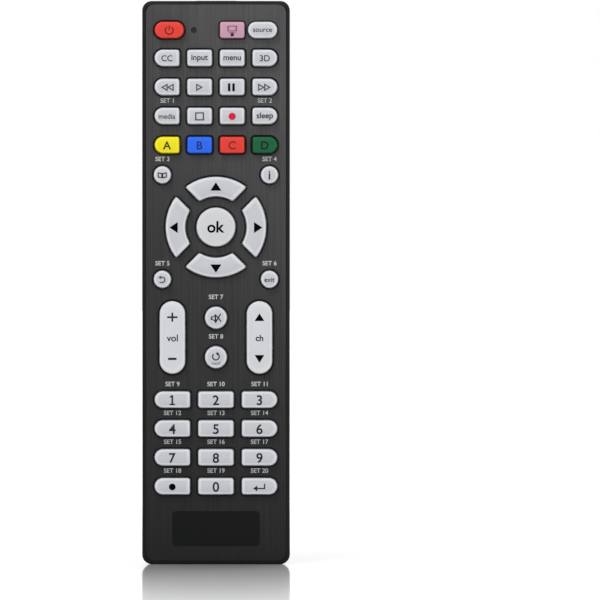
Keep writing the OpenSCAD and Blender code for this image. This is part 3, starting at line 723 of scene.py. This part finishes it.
black_ink = print_ink("pad ink, black", "#030304", shine=0.02)
dark_ink = print_ink("pad ink, dark grey", "#1c1e26")
grey_ink = print_ink("pad ink, mid grey", "#4a4d53")
signs = {
    "key_power": (power_sign, print_ink("pad ink, dark red", "#74130f")),
    "key_source": (words("source", word_h), dark_ink),
    "key_cc": (words("CC", 2.0 * mm), dark_ink),
    "key_input": (words("input", broad_word_h, broad_bold), dark_ink),
    "key_menu": (words("menu", broad_word_h, broad_bold), dark_ink),
    "key_3d": (words("3D", 2.1 * mm), dark_ink),
    "key_rewind": (joined((open_back, -0.9 * mm, 0), (open_back, 1.1 * mm, 0)), grey_ink),
    "key_play": (open_head, grey_ink),
    "key_pause": (joined((pause_bar, -1.0 * mm, 0), (pause_bar, 0.45 * mm, 0)), black_ink),
    "key_forward": (joined((open_head, -1.1 * mm, 0), (open_head, 0.9 * mm, 0)), grey_ink),
    "key_media": (words("media", word_h), dark_ink),
    "key_stop": (hollow(box_corners([0, 0], [3.0 * mm, 2.7 * mm])), grey_ink),
    "key_record": (disc(2.4 * mm), print_ink("pad ink, crimson", "#c41c40")),
    "key_sleep": (words("sleep", broad_word_h, broad_bold), dark_ink),
    "key_yellow": (words("A", letter_h, digit_bold), print_ink("pad ink, olive", "#3d3914")),
    "key_blue": (words("B", letter_h, digit_bold), print_ink("pad ink, navy", "#122a70")),
    "key_red": (words("C", letter_h, digit_bold), print_ink("pad ink, brown red", "#841a14")),
    "key_green": (words("D", letter_h, digit_bold), print_ink("pad ink, bottle green", "#03150d")),
    "key_guide": (book_sign, dark_ink),
    "key_info": (words("i", 3.0 * mm, digit_bold), dark_ink),
    "key_back": (return_sign, grey_ink),
    "key_exit": (words("exit", 1.6 * mm), dark_ink),
    "key_ok": (joined((words("ok", 3.8 * mm, ok_bold), *print_drop)), black_ink),
    "key_mute": (mute_sign, dark_ink),
    "key_recall": (recall_sign, dark_ink),
    "key_volume": (vol_sign, dark_ink),
    "key_channel": (ch_sign, black_ink),
    "key_dot": (disc(2.2 * mm), black_ink),
    "key_enter": (enter_sign, dark_ink)}
signs |= {f"key_{digit}": (words(str(digit), digit_h, digit_bold), dark_ink) for digit in range(10)}
signs["key_1"] = (one_sign, dark_ink)
for node, (sheet, ink) in signs.items():
    print_on(node, node, sheet, ink, *(middle(node) - print_drop))
for i, node in enumerate(arrow_keys):
    reach = side_sign_r if i % 2 else arrow_sign_r
    place = middle("key_ok") + turned(np.array([0, reach]), 90 * i) - print_drop
    print_on(node, node, arrowhead(*arrow_sign_size, 90 * i), black_ink, *place)
set_x, set_z = middle("key_set") - print_drop
print_on("key_set_screen", "key_set", screen_sign, print_ink("pad ink, plum", "#85506f"),
         set_x, set_z + 0.6 * mm)
print_on("key_set_dot", "key_set", disc(1.2 * mm), print_ink("pad ink, wine", "#4a1030"),
         set_x, set_z - 1.45 * mm)

# Face prints
# Set numbers screen printed in pale grey over their keys, and a bare film of gloss black near the foot.
print_h = 1.5 * mm
print_rise = 2.5 * mm
wide_rise = 3.3 * mm
badge_size = [29 * mm, 11.6 * mm]
badge_z = 11.9 * mm
badge_r = 0.9 * mm
badge_points = 120
wipe_mark = 6 * mm
# The face is flat, so its prints need no cuts
flat_step = 1.0
set_keys = ["key_media", "key_sleep", "key_guide", "key_info", "key_back", "key_exit", "key_mute",
            "key_recall", *[f"key_{digit}" for digit in range(1, 10)], "key_dot", "key_0", "key_enter"]
pale_ink = print_ink("screen ink, pale grey", "#bcbdbe")
for number, node in enumerate(set_keys, 1):
    x, z = middle(node)
    rise = wide_rise if node in ("key_mute", "key_recall") else print_rise
    print_on(f"set_{number}", "case", words(f"SET {number}", print_h), pale_ink,
             x, z + size(node)[1] / 2 + rise, flat_step)
# Cast film is black and smooth, with faint wipe marks in its gloss
gloss_film = uneven_gloss("gloss film, black", "#08090a", wipe_mark, 0.25, 0.4,
                          IOR=1.5, Specular_IOR_Level=0.1)
badge_loop = soft_box([0, badge_z], badge_size, badge_r, badge_points)
print_on("badge", "case", flat_mesh([badge_loop]), gloss_film, step=flat_step)

# Keypad mat
# A moulded sheet of silicone rubber behind the front shell, which spaces the caps from the board.


def mottled(name, dark, light, patch, roughness, **inputs):
    """A surface whose tone wanders between two colours, in patches of a given size."""
    material, shader, place = plain_material(name, Roughness=roughness, **inputs)
    patches = add_node(material, "ShaderNodeTexNoise", {"Vector": place, "Scale": 1 / patch, "Detail": 3.0})
    tone = add_node(material, "ShaderNodeValToRGB", {"Fac": patches})
    tone.color_ramp.elements[0].color = linear(dark)
    tone.color_ramp.elements[1].color = linear(light)
    bump = add_node(material, "ShaderNodeBump", {"Height": patches, "Strength": 0.2, "Distance": patch / 30})
    feed(material, shader, {"Base Color": tone, "Normal": bump})
    return material


# Silicone takes up dust, so it looks softly patchy and quite dull
dress("keypad_mat", mottled("silicone rubber, grey", "#333437", "#434447", 1.5 * mm, 0.75))

# Circuit board
# A phenolic board with a green lacquer over its copper tracks. The chip, the resonator, the capacitor and
# the infrared emitter are soldered to its back and its top edge.
track_w = 0.5 * mm
track_pitch = 2.2 * mm
track_run = 13 * mm


def lacquered_board():
    """Solder lacquer over tracks: a deep green that turns paler where a copper track runs below it."""
    material, shader, place = plain_material("solder lacquer, green", Roughness=0.3, IOR=1.5)
    upright = add_node(material, "ShaderNodeMapping", {"Vector": place, "Rotation": (np.pi / 2, 0, 0)})
    tracks = add_node(material, "ShaderNodeTexBrick",
                      {"Vector": upright, "Color1": linear("#17552e"), "Color2": linear("#1b5d34"),
                       "Mortar": linear("#4f9a5b"), "Scale": 1.0, "Mortar Size": track_w / 2,
                       "Brick Width": track_run, "Row Height": track_pitch})
    feed(material, shader, {"Base Color": tracks})
    return material


dress("circuit_board", lacquered_board())
# Filled epoxy is near black with a fine mineral speckle
dress("controller_chip", mottled("moulded epoxy, black", "#151517", "#212124", 0.2 * mm, 0.55))
# Dipped and glazed ceramic is glossy, and its colour pools
dress("resonator", mottled("dipped ceramic, ochre", "#a8661c", "#c98a35", 1.2 * mm, 0.25))
# Pressed ceramic is duller, with a sandy speckle
dress("capacitor", mottled("pressed ceramic, tan", "#9d8258", "#b99c6e", 0.5 * mm, 0.4))
# The emitter's lens is dyed so dark that only a violet cast shows
dress("ir_emitter", mottled("cast epoxy, violet black", "#1d1830", "#2b2545", 2 * mm, 0.12))

# Indicator lamp
# A smoked light pipe from the board to a hole in the face: a dark dot unless the lamp is lit.
smoked_pipe = mottled("smoked polycarbonate", "#0e0c0c", "#171314", 0.6 * mm, 0.25, Specular_IOR_Level=0.2)
dress("indicator_lamp", smoked_pipe)

# Back shell
# The back half of the case: a thin upper part that swells over a ramp into the bulge for the cells, moulded
# with the cell bay and the door's frame in it. One screw and a lip inside hold it to the front shell.
shell_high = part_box("back_shell")[1]
cells_low, cells_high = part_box("battery_cells")
contacts_low, contacts_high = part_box("battery_contacts")
door_low, door_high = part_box("battery_door")
back_colour = "#1f2123"
back_roughness = 0.38
back_shine = 0.4
half_w = shell_high.x
case_h = shell_high.z
seam_y = face_y + 3.1 * mm
neck_y = face_y + 8.4 * mm
bulge_y = shell_high.y
shell_t = 1.0 * mm
corner_r = 3.4 * mm
seam_r = 0.15 * mm
side_draw = 0.45 * mm
bulge_step = 0.6 * mm
shoulder_y = face_y + 6.2 * mm
shoulder_r = 1.0 * mm
back_r = 2 * mm
bulge_r = 9.1 * mm
bulge_turn = 11 * mm
heel_r = 7 * mm
heel_blend = 13 * mm
neck_z = 89.5 * mm
ramp_h = 12.6 * mm
ramp_window = 0.16
panel_z = [8.6 * mm, 74.5 * mm]
door_half = 14 * mm
hinge_z = 11 * mm
latch_half = 5.5 * mm
latch_l = 4.5 * mm
door_points = 480
door_gap = 0.3 * mm
lip_r = 0.3 * mm
ledge_y = face_y + 16.35 * mm
latch_pocket_y = face_y + 15.25 * mm
hinge_groove_y = face_y + 15.46 * mm
groove_z = 12.45 * mm
latch_z = 69.3 * mm
bay_gap = 0.25 * mm
bay_half = cells_high.x + bay_gap
floor_y = cells_low.y - bay_gap
# The heights between which the rows of points over the back are spaced in different ways
foot_z, ramp_low_z, ramp_high_z, head_z = np.array([20, 70, 96, 172]) * mm
back_columns = 49
weld_reach = 0.002 * mm
near = 0.001 * mm


def welded_piece(name, parts, material, sharp=sharp_turn):
    """One mesh object from several surfaces that share their borders, with all its faces turned outward."""
    counts = np.cumsum([0] + [len(points) for points, faces in parts])
    points = np.concatenate([points for points, faces in parts])
    faces = [[corner + count for corner in face] for (_, part), count in zip(parts, counts) for face in part]
    piece = new_piece(name, points, faces, material)
    mesh = bmesh.new()
    mesh.from_mesh(piece.data)
    bmesh.ops.remove_doubles(mesh, verts=mesh.verts[:], dist=weld_reach)
    bmesh.ops.recalc_face_normals(mesh, faces=mesh.faces[:])
    mesh.to_mesh(piece.data)
    mesh.free()
    shade(piece.data, sharp)
    return piece


def bulge_share(z):
    """One along the bulge and nothing along the thin part, straight down the ramp between them. Its two
    ends are rounded: it is the mean of a clamped straight line over a short window."""
    window = np.linspace(-ramp_window, ramp_window, 33)
    share = (neck_z - np.asarray(z)) / ramp_h
    return np.clip(share[..., None] + window, 0, 1).mean(axis=-1)


def back_y(z):
    """The depth of the back's flat middle at a height."""
    return neck_y + (bulge_y - neck_y) * bulge_share(z)


def inner_x(z):
    """Where the rounding of a long side ends on the back, at a height."""
    return half_w - side_draw - back_r - (bulge_r - back_r) * bulge_share(z)


def corner_drop(offset):
    """How far the case's rounded corner draws in from one edge, at an offset from the other edge."""
    return corner_r - np.sqrt(corner_r ** 2 - np.clip(corner_r - offset, 0, corner_r) ** 2)


def back_heights():
    """The heights of the rows over the back's middle: closer together towards both ends and on the ramp."""
    near_end = np.linspace(0, 1, 14) ** 2
    top_z = case_h - back_r
    heights = np.concatenate([heel_r + (foot_z - heel_r) * near_end, np.linspace(foot_z, ramp_low_z, 12),
                              np.linspace(ramp_low_z, ramp_high_z, 60), np.linspace(ramp_high_z, head_z, 14),
                              top_z - (top_z - head_z) * near_end, panel_z])
    return np.unique(np.round(heights, 7))


def grid_border(heights, shares):
    """The height and the share of the width of each point on a grid's border: up its last column, back along
    its last row, down its first column and along its first row."""
    rows, columns = len(heights), len(shares)
    grid = np.arange(rows * columns).reshape(rows, columns)
    border = np.concatenate([grid[:, -1], grid[-1, -2::-1], grid[-2::-1, 0], grid[0, 1:-1]])
    return [table.ravel()[border] for table in np.meshgrid(heights, shares, indexing="ij")]


def case_outline(high, across):
    """The case's outline, a rounded rectangle, at one point for each point of the middle's border. The
    middle's corners fall halfway round the outline's."""
    half_corner = corner_r * (1 - np.sqrt(0.5))
    x = (half_w - half_corner) * across
    z = np.interp(high, [heel_r, foot_z, head_z, case_h - back_r],
                  [half_corner, foot_z, head_z, case_h - half_corner])
    side_x = np.sign(across) * (half_w - corner_drop(np.minimum(z, case_h - z)))
    end_z = case_h / 2 + np.sign(high - case_h / 2) * (case_h / 2 - corner_drop(half_w - np.abs(x)))
    on_side = np.abs(across) > 1 - 1e-9
    return np.column_stack([np.where(on_side, side_x, x), np.where(on_side, z, end_z)])


def back_sides(heights, shares):
    """Rings from the seam up the wall, over the bulge's shoulder and round to the back, each point going
    from the case's outline to the back's flat middle by a quarter of an ellipse. The shoulder is a quarter
    of an ellipse too, and runs out on the thin part."""
    high, across = grid_border(heights, shares)
    inner = np.column_stack([inner_x(high) * across, high])
    outer = case_outline(high, across)
    low = np.clip((heel_r + heel_blend - high) / heel_blend, 0, 1)
    low = low ** 2 * (3 - 2 * low)
    turn_r = back_r + (bulge_turn - back_r) * bulge_share(high)
    turn_r = turn_r + (heel_r - turn_r) * low
    wall_y = back_y(high) - turn_r
    step_in = bulge_step * bulge_share(high)
    rows, depths = [], []
    for rise, short in quarter_round(4):
        rows.append(outer - seam_r * short * outward(outer))
        depths.append(seam_y + seam_r * rise)
    for share in np.linspace(0, 1, 7):
        depth = shoulder_y - shoulder_r * (1 - share)
        inset = side_draw * (depth - seam_y) / (wall_y - seam_y) + step_in * (1 - np.sqrt(1 - share ** 2))
        rows.append(outer * np.column_stack([1 - inset / half_w, 1 + 0 * inset]))
        depths.append(depth)
    drawn = outer * np.column_stack([1 - (side_draw + step_in) / half_w, 1 + 0 * step_in])
    for inward, short in quarter_round(15):
        rows.append(drawn + inward * (inner - drawn))
        depths.append(wall_y + turn_r * (1 - short))
    return ring_points(rows, depths), ring_quads(len(rows), len(high))


def back_middle(heights, shares):
    """A grid of heights and shares of the width over the back's middle, without the panel round the door."""
    columns = len(shares)
    grid_z = np.repeat(heights, columns)
    points = np.column_stack([(inner_x(heights)[:, None] * shares).ravel(), back_y(grid_z), grid_z])
    row, column = np.meshgrid(np.arange(len(heights) - 1), np.arange(columns - 1), indexing="ij")
    beside = (heights[row] < panel_z[0] - near) | (heights[row] > panel_z[1] - near)
    first = (row * columns + column)[beside]
    return points, np.stack([first, first + 1, first + columns + 1, first + columns], axis=-1).tolist()


def door_panel(heights, shares):
    """The flat panel that the middle leaves out, with the door's opening in it."""
    in_panel = (heights > panel_z[0] - near) & (heights < panel_z[1] + near)
    high, across = grid_border(heights[in_panel], shares)
    hole = door_loop + (door_gap + lip_r) * outward(door_loop)
    points, faces = flat_mesh([np.column_stack([inner_x(high) * across, high]), hole])
    return facing(points, bulge_y), faces


def door_frame():
    """Rings inward from the door's opening: over a rounded lip, down to the ledge under the door, deeper
    at the hinge and the latch, in to the border of the cell bay and down to its floor."""
    edge = door_loop + door_gap * outward(door_loop)
    rows, depths = [], []
    for drop, short in quarter_round(6):
        rows.append(edge + lip_r * short * outward(door_loop))
        depths.append(bulge_y - lip_r * drop)
    pocket_y = np.where(edge[:, 1] > latch_z, latch_pocket_y, ledge_y)
    pocket_y = np.where(edge[:, 1] < groove_z, hinge_groove_y, pocket_y)
    ledge = np.column_stack([edge[:, 0], np.clip(edge[:, 1], groove_z, latch_z)])
    bay = np.column_stack([np.clip(edge[:, 0], -bay_half, bay_half),
                           np.clip(edge[:, 1], contacts_low.z, contacts_high.z)])
    rows += [edge, ledge, ledge, bay, bay]
    depths += [pocket_y, pocket_y, ledge_y, ledge_y, floor_y]
    return capped_rings(rows, depths, [0, floor_y, bay[:, 1].mean()])


door_top = door_high.z - latch_l
half_corners = np.array([[door_half, door_low.z], [door_half, door_top], [latch_half, door_top],
                         [latch_half, door_high.z]])
half_radii = np.array([0.4, 2, 1.2, 1]) * mm
door_corners = np.vstack([half_corners, (half_corners * [-1, 1])[::-1]])
door_loop = soft_polygon(door_corners, [*half_radii, *half_radii[::-1]], door_points)
back_abs = moulded_abs("moulded ABS, charcoal", back_colour, back_roughness, back_shine)
heights = back_heights()
shares = np.sin(np.linspace(-1, 1, back_columns) * np.pi / 2)
back_parts = [make(heights, shares) for make in (back_sides, back_middle, door_panel)] + [door_frame()]
back_shell = welded_piece("back_shell_moulding", back_parts, back_abs, sharp=50)
thick = back_shell.modifiers.new("wall", "SOLIDIFY")
thick.thickness = shell_t
thick.offset = -1
put_in_place(back_shell, "back_shell", "case")

# Infrared window
# A smoked acrylic lens let into the top end, over the seam. It looks black and lets infrared light out.
window_low, window_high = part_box("ir_window")
window_r = 1 * mm
window_edge = 0.2 * mm
window_proud = 0.08 * mm
window_points = 160
smear_size = 3 * mm


def window_lens():
    """Rings that follow a rounded rectangle up its side and over a quarter-round edge to its middle."""
    centre = [0, (window_low.y + window_high.y) / 2]
    span = [window_high.x - window_low.x, window_high.y - window_low.y]
    loop = soft_box(centre, span, window_r, window_points)
    top = cad_high.z + window_proud
    rows, heights = [loop], [window_low.z]
    for inward, short in quarter_round(7):
        rows.append(loop - window_edge * inward * outward(loop))
        heights.append(top - window_edge * short)
    points, faces = capped_rings(rows, heights, [centre[0], top, centre[1]])
    return points[:, [0, 2, 1]], faces + [list(range(len(loop)))]


# Smoked acrylic is black with a faint wine cast and a satin highlight
smoked_acrylic = uneven_gloss("smoked acrylic", "#0d080b", smear_size, 0.2, 0.3,
                              IOR=1.49, Specular_IOR_Level=0.2)
window = welded_piece("ir_window_lens", [window_lens()], smoked_acrylic)
put_in_place(window, "ir_window", "case")

# Case screw
# A small zinc-plated pan-head screw in the floor of the bay, between the cells. It holds the shells together.
dress("case_screw", mottled("zinc plating", "#8f9499", "#b4b9bd", 0.8 * mm, 0.35, Metallic=1.0))

# Contacts and springs
# Nickel-plated strips at both ends of the bay, and two springs coiled as cones from plated music wire.
wire_d = 0.6 * mm
wire_sides = 12
spring_l = 5.5 * mm
spring_turns = 4
turn_points = 48
base_r = 3.9 * mm
tip_r = 2.6 * mm
cell_r = (cells_high.y - cells_low.y) / 2
cell_x = cells_high.x - cell_r
cell_axis_y = (cells_low.y + cells_high.y) / 2
contact_t = 0.4 * mm
bay_low_z = contacts_low.z + contact_t
bay_high_z = contacts_high.z - contact_t


def round_angles(count):
    """Evenly spaced angles once round a circle."""
    return np.linspace(0, 2 * np.pi, count + 1)[:-1]


def closed_tube(rings):
    """Rings of points joined by quads, with one flat face over each end."""
    rows, count = rings.shape[:2]
    last = (rows - 1) * count
    ends = [list(range(count)), list(range(last, last + count))[::-1]]
    return rings.reshape(-1, 3), ring_quads(rows, count) + ends


def coiled_wire(x, z, rise):
    """A round wire swept along a helix about a cell's axis, whose radius falls evenly from base to tip."""
    t = np.linspace(0, 1, turn_points * spring_turns + 1)[:, None]
    turn = 2 * np.pi * spring_turns * t
    around = round_angles(wire_sides)
    radius = base_r + (tip_r - base_r) * t + wire_d / 2 * np.cos(around)
    height = wire_d / 2 + (spring_l - wire_d) * t + wire_d / 2 * np.sin(around)
    return closed_tube(np.stack([x + radius * np.cos(turn), cell_axis_y + radius * np.sin(turn),
                                 z + rise * height], axis=-1))


# Nickel is a bright, faintly warm metal with a soft sheen
nickel = mottled("nickel plating", "#a9aba6", "#cbccc6", 0.9 * mm, 0.22, Metallic=1.0)
dress("battery_contacts", nickel)
coils = [coiled_wire(-cell_x, bay_low_z, 1), coiled_wire(cell_x, bay_high_z, -1)]
springs = welded_piece("battery_springs_wire", coils, nickel)
put_in_place(springs, "battery_springs", "case")

# Cells
# Two AAA cells, laid head to tail: a drawn steel can in a printed sleeve, with a nub at the positive end.
cell_l = 44.5 * mm
cell_sides = 64
can_edge = 0.6 * mm
can_rows = 60
nub_r = 1.9 * mm
nub_l = 1 * mm
nub_edge = 0.2 * mm
pole_r = 0.01 * mm
sleeve_stops = [(0.0, "#b9bbbd", 1.0), (0.03, "#1d3f78", 0.0), (0.72, "#c9ccd0", 0.0),
                (0.955, "#b9bbbd", 1.0)]


def printed_sleeve():
    """A printed sleeve over a steel can: a blue body with a pale band near the nub, and bare metal ends."""
    material, shader, place = plain_material("printed sleeve on steel", Roughness=0.3, IOR=1.5)
    share = add_node(material, "ShaderNodeAttribute", {}, attribute_name="along").outputs["Fac"]
    colour = add_node(material, "ShaderNodeValToRGB", {"Fac": share})
    metal = add_node(material, "ShaderNodeValToRGB", {"Fac": share})
    for ramp in (colour.color_ramp, metal.color_ramp):
        ramp.interpolation = "CONSTANT"
        ramp.elements.new(sleeve_stops[1][0])
        ramp.elements.new(sleeve_stops[2][0])
    for i, (place_on_cell, tone, metallic) in enumerate(sleeve_stops):
        stop, shine = colour.color_ramp.elements[i], metal.color_ramp.elements[i]
        stop.position = shine.position = place_on_cell
        stop.color = linear(tone)
        shine.color = (metallic, metallic, metallic, 1.0)
    feed(material, shader, {"Base Color": colour, "Metallic": metal})
    return material


def turned_cell(x, z, rise):
    """A profile of radius and height turned about the cell's axis: flat foot, rounded edges, can and nub."""
    inward, short = quarter_round(6).T
    foot = np.column_stack([cell_r - can_edge * short, can_edge * inward])
    head = np.column_stack([foot[::-1, 0], cell_l - nub_l - foot[::-1, 1]])
    nub = np.array([[nub_r, cell_l - nub_l], [nub_r, cell_l - nub_edge], [nub_r - nub_edge, cell_l]])
    can = np.column_stack([np.full(can_rows, cell_r),
                           np.linspace(foot[-1, 1], head[0, 1], can_rows + 2)[1:-1]])
    profile = np.vstack([[[pole_r, 0]], foot, can, head, nub, [[pole_r, cell_l]]])
    radius, height = profile[:, :1], profile[:, 1:]
    around = round_angles(cell_sides)
    return closed_tube(np.stack([x + radius * np.cos(around), cell_axis_y + radius * np.sin(around),
                                 z + rise * height + 0 * around], axis=-1))


cans = [turned_cell(-cell_x, bay_high_z - cell_l, 1), turned_cell(cell_x, bay_low_z + cell_l, -1)]
cells = welded_piece("battery_cells_turned", cans, printed_sleeve(), sharp=50)
across, _, up = vertex_places(cells.data).T
left_share = 1 - (cells_high.z - up) / cell_l
right_share = 1 - (up - cells_low.z) / cell_l
share_along = cells.data.attributes.new("along", "FLOAT", "POINT")
share_along.data.foreach_set("value", np.where(across < 0, left_share, right_share))
put_in_place(cells, "battery_cells", "case")

# Battery door
# A flat ABS cover with a half-round lower edge that turns on two lugs, and a ribbed thumb latch on top.
door_edge = 0.3 * mm
door_t = 1.4 * mm
door_back_y = bulge_y - door_t
hinge_y = face_y + 16.9 * mm
lug_r = 0.5 * mm
lug_sides = 32
lug_x = np.array([door_half - 0.5 * mm, door_half + 0.2 * mm])
rib_count = 4
rib_size = [8 * mm, 0.8 * mm]
rib_r = 0.25 * mm
rib_depth = 0.25 * mm
rib_draw = 0.15 * mm
rib_pitch = 1.1 * mm
rib_points = 80
first_rib_z = door_high.z - 1.2 * mm
leg_size = [7 * mm, 1 * mm]
leg_z = door_high.z - 0.6 * mm
leg_y = [door_back_y - 1.1 * mm, door_back_y + 0.2 * mm]


def rounded_hinge(loop, depth):
    """A loop whose points below the hinge are drawn up to a circle about the hinge, at a given depth."""
    share = np.sqrt(np.clip(1 - ((depth - hinge_y) / (bulge_y - hinge_y)) ** 2, 0, 1))
    x, z = loop.T
    return np.column_stack([x, np.where(z < hinge_z, hinge_z - (hinge_z - z) * share, z)])


def door_cover():
    """Rings round the door's back edge and side, over its edge to the face, which is a flat sheet with the
    ribs' slots in it. A tub closes each slot."""
    depths = list(np.linspace(door_back_y, bulge_y - door_edge, 6))
    rows = [rounded_hinge(door_loop, depth) for depth in depths]
    for inward, short in quarter_round(8)[1:]:
        depths.append(bulge_y - door_edge * short)
        rows.append(rounded_hinge(door_loop - door_edge * inward * outward(door_loop), depths[-1]))
    back = [list(range(len(door_loop)))]
    rib_heights = first_rib_z - rib_pitch * np.arange(rib_count)
    slots = [soft_box([0, z], rib_size, rib_r, rib_points) for z in rib_heights]
    face, face_faces = flat_mesh([rows[-1]] + slots)
    parts = [(ring_points(rows, depths), ring_quads(len(rows), len(door_loop)) + back),
             (facing(face, bulge_y), face_faces)]
    tub_y = bulge_y - rib_depth
    for slot in slots:
        tub = slot - rib_draw * outward(slot)
        parts.append(capped_rings([slot, tub], [bulge_y, tub_y], [0, tub_y, slot[:, 1].mean()]))
    return parts


def door_lug(side):
    """A short turned pin on the hinge's axis, at one end of the door."""
    around = round_angles(lug_sides)
    ends = side * lug_x[:, None]
    return closed_tube(np.stack([ends + 0 * around, hinge_y + lug_r * np.cos(around) + 0 * ends,
                                 hinge_z + lug_r * np.sin(around) + 0 * ends], axis=-1))


def latch_leg():
    """A small block under the latch that snaps behind the frame."""
    loop = box_corners([0, leg_z], leg_size)
    return closed_tube(ring_points([loop, loop], leg_y).reshape(2, 4, 3))


battery_door = welded_piece("battery_door_cover", [*door_cover(), door_lug(-1), door_lug(1), latch_leg()],
                            back_abs, sharp=35)
put_in_place(battery_door, "battery_door", "battery_door")

# Stage
# A pale floor with a soft polish, white surroundings and three soft lamps. None of it is part of the
# remote, and the camera stands where the photograph was taken from.
floor_half = 40.0
floor_far = 0.5
near_glow = 0.03
falling_light = 0.4
pixel = 0.3316 * mm
frame_px = 600
photo_foot_px = 564.5
photo_middle_px = 216
lens = 300
sensor = 36
view_far = 200


def seen_rays(material):
    """One where the camera or a mirror image looks, and nothing for the light that falls on other pieces."""
    rays = add_node(material, "ShaderNodeLightPath", {}).outputs
    return add_node(material, "ShaderNodeMath", {0: rays["Is Camera Ray"], 1: rays["Is Glossy Ray"]},
                    operation="MAXIMUM")


def polished_board():
    """White board under a clear coat: it mirrors the foot of the remote a little, takes its shadow, and
    fades to pure white away from it."""
    material, shader, place = plain_material(
        "polished white board", Base_Color=linear("#f2f2f2"), Roughness=0.3, IOR=1.45,
        Coat_Roughness=0.06, Emission_Color=linear("#ffffff"))
    away = add_node(material, "ShaderNodeVectorMath", {0: place}, operation="LENGTH").outputs["Value"]
    fade = add_node(material, "ShaderNodeMapRange",
                    {"Value": away, "From Max": floor_far, "To Min": near_glow, "To Max": 1.0})
    glow = add_node(material, "ShaderNodeMath", {0: fade, 1: seen_rays(material)}, operation="MULTIPLY")
    polish = add_node(material, "ShaderNodeMapRange",
                      {"Value": away, "From Max": floor_far, "To Min": 1.0, "To Max": 0.0})
    feed(material, shader, {"Emission Strength": glow, "Coat Weight": polish})
    return material


def soft_lamp(name, place, width, power):
    """A square area lamp that looks from its place at the middle of the remote."""
    lamp = bpy.data.lights.new(name, "AREA")
    lamp.size = width
    lamp.energy = power
    holder = bpy.data.objects.new(name, lamp)
    holder.location = place
    aim = Vector((0, 0, cad_high.z / 2)) - Vector(place)
    holder.rotation_euler = aim.to_track_quat("-Z", "Y").to_euler()
    bpy.context.scene.collection.objects.link(holder)


floor_corners = floor_half * np.array([[-1, -1, 0], [1, -1, 0], [1, 1, 0], [-1, 1, 0]])
new_piece("floor", floor_corners, [(0, 1, 2, 3)], polished_board())
world = bpy.data.worlds.new("white surroundings")
world.use_nodes = True
bpy.context.scene.world = world
strength = add_node(world, "ShaderNodeMapRange",
                    {"Value": seen_rays(world), "To Min": falling_light, "To Max": 1.0})
feed(world, world.node_tree.nodes["Background"], {"Color": linear("#ffffff"), "Strength": strength})
soft_lamp("key lamp", (-0.6, -1.1, 1.5), 0.8, 21)
soft_lamp("fill lamp", (0.9, -1.2, 0.4), 0.9, 5)
soft_lamp("back lamp", (0.9, 1.2, 0.9), 0.8, 10)

camera = bpy.data.cameras.new("photo camera")
camera.lens = lens
camera.sensor_width = sensor
camera.clip_end = view_far
viewer = bpy.data.objects.new("photo camera", camera)
distance = frame_px * pixel * lens / sensor
viewer.location = ((frame_px / 2 - photo_middle_px) * pixel, face_y - distance,
                   (photo_foot_px - frame_px / 2) * pixel)
viewer.rotation_euler = (np.pi / 2, 0, 0)
bpy.context.scene.collection.objects.link(viewer)
bpy.context.scene.camera = viewer
bpy.context.scene.view_settings.view_transform = "Standard"
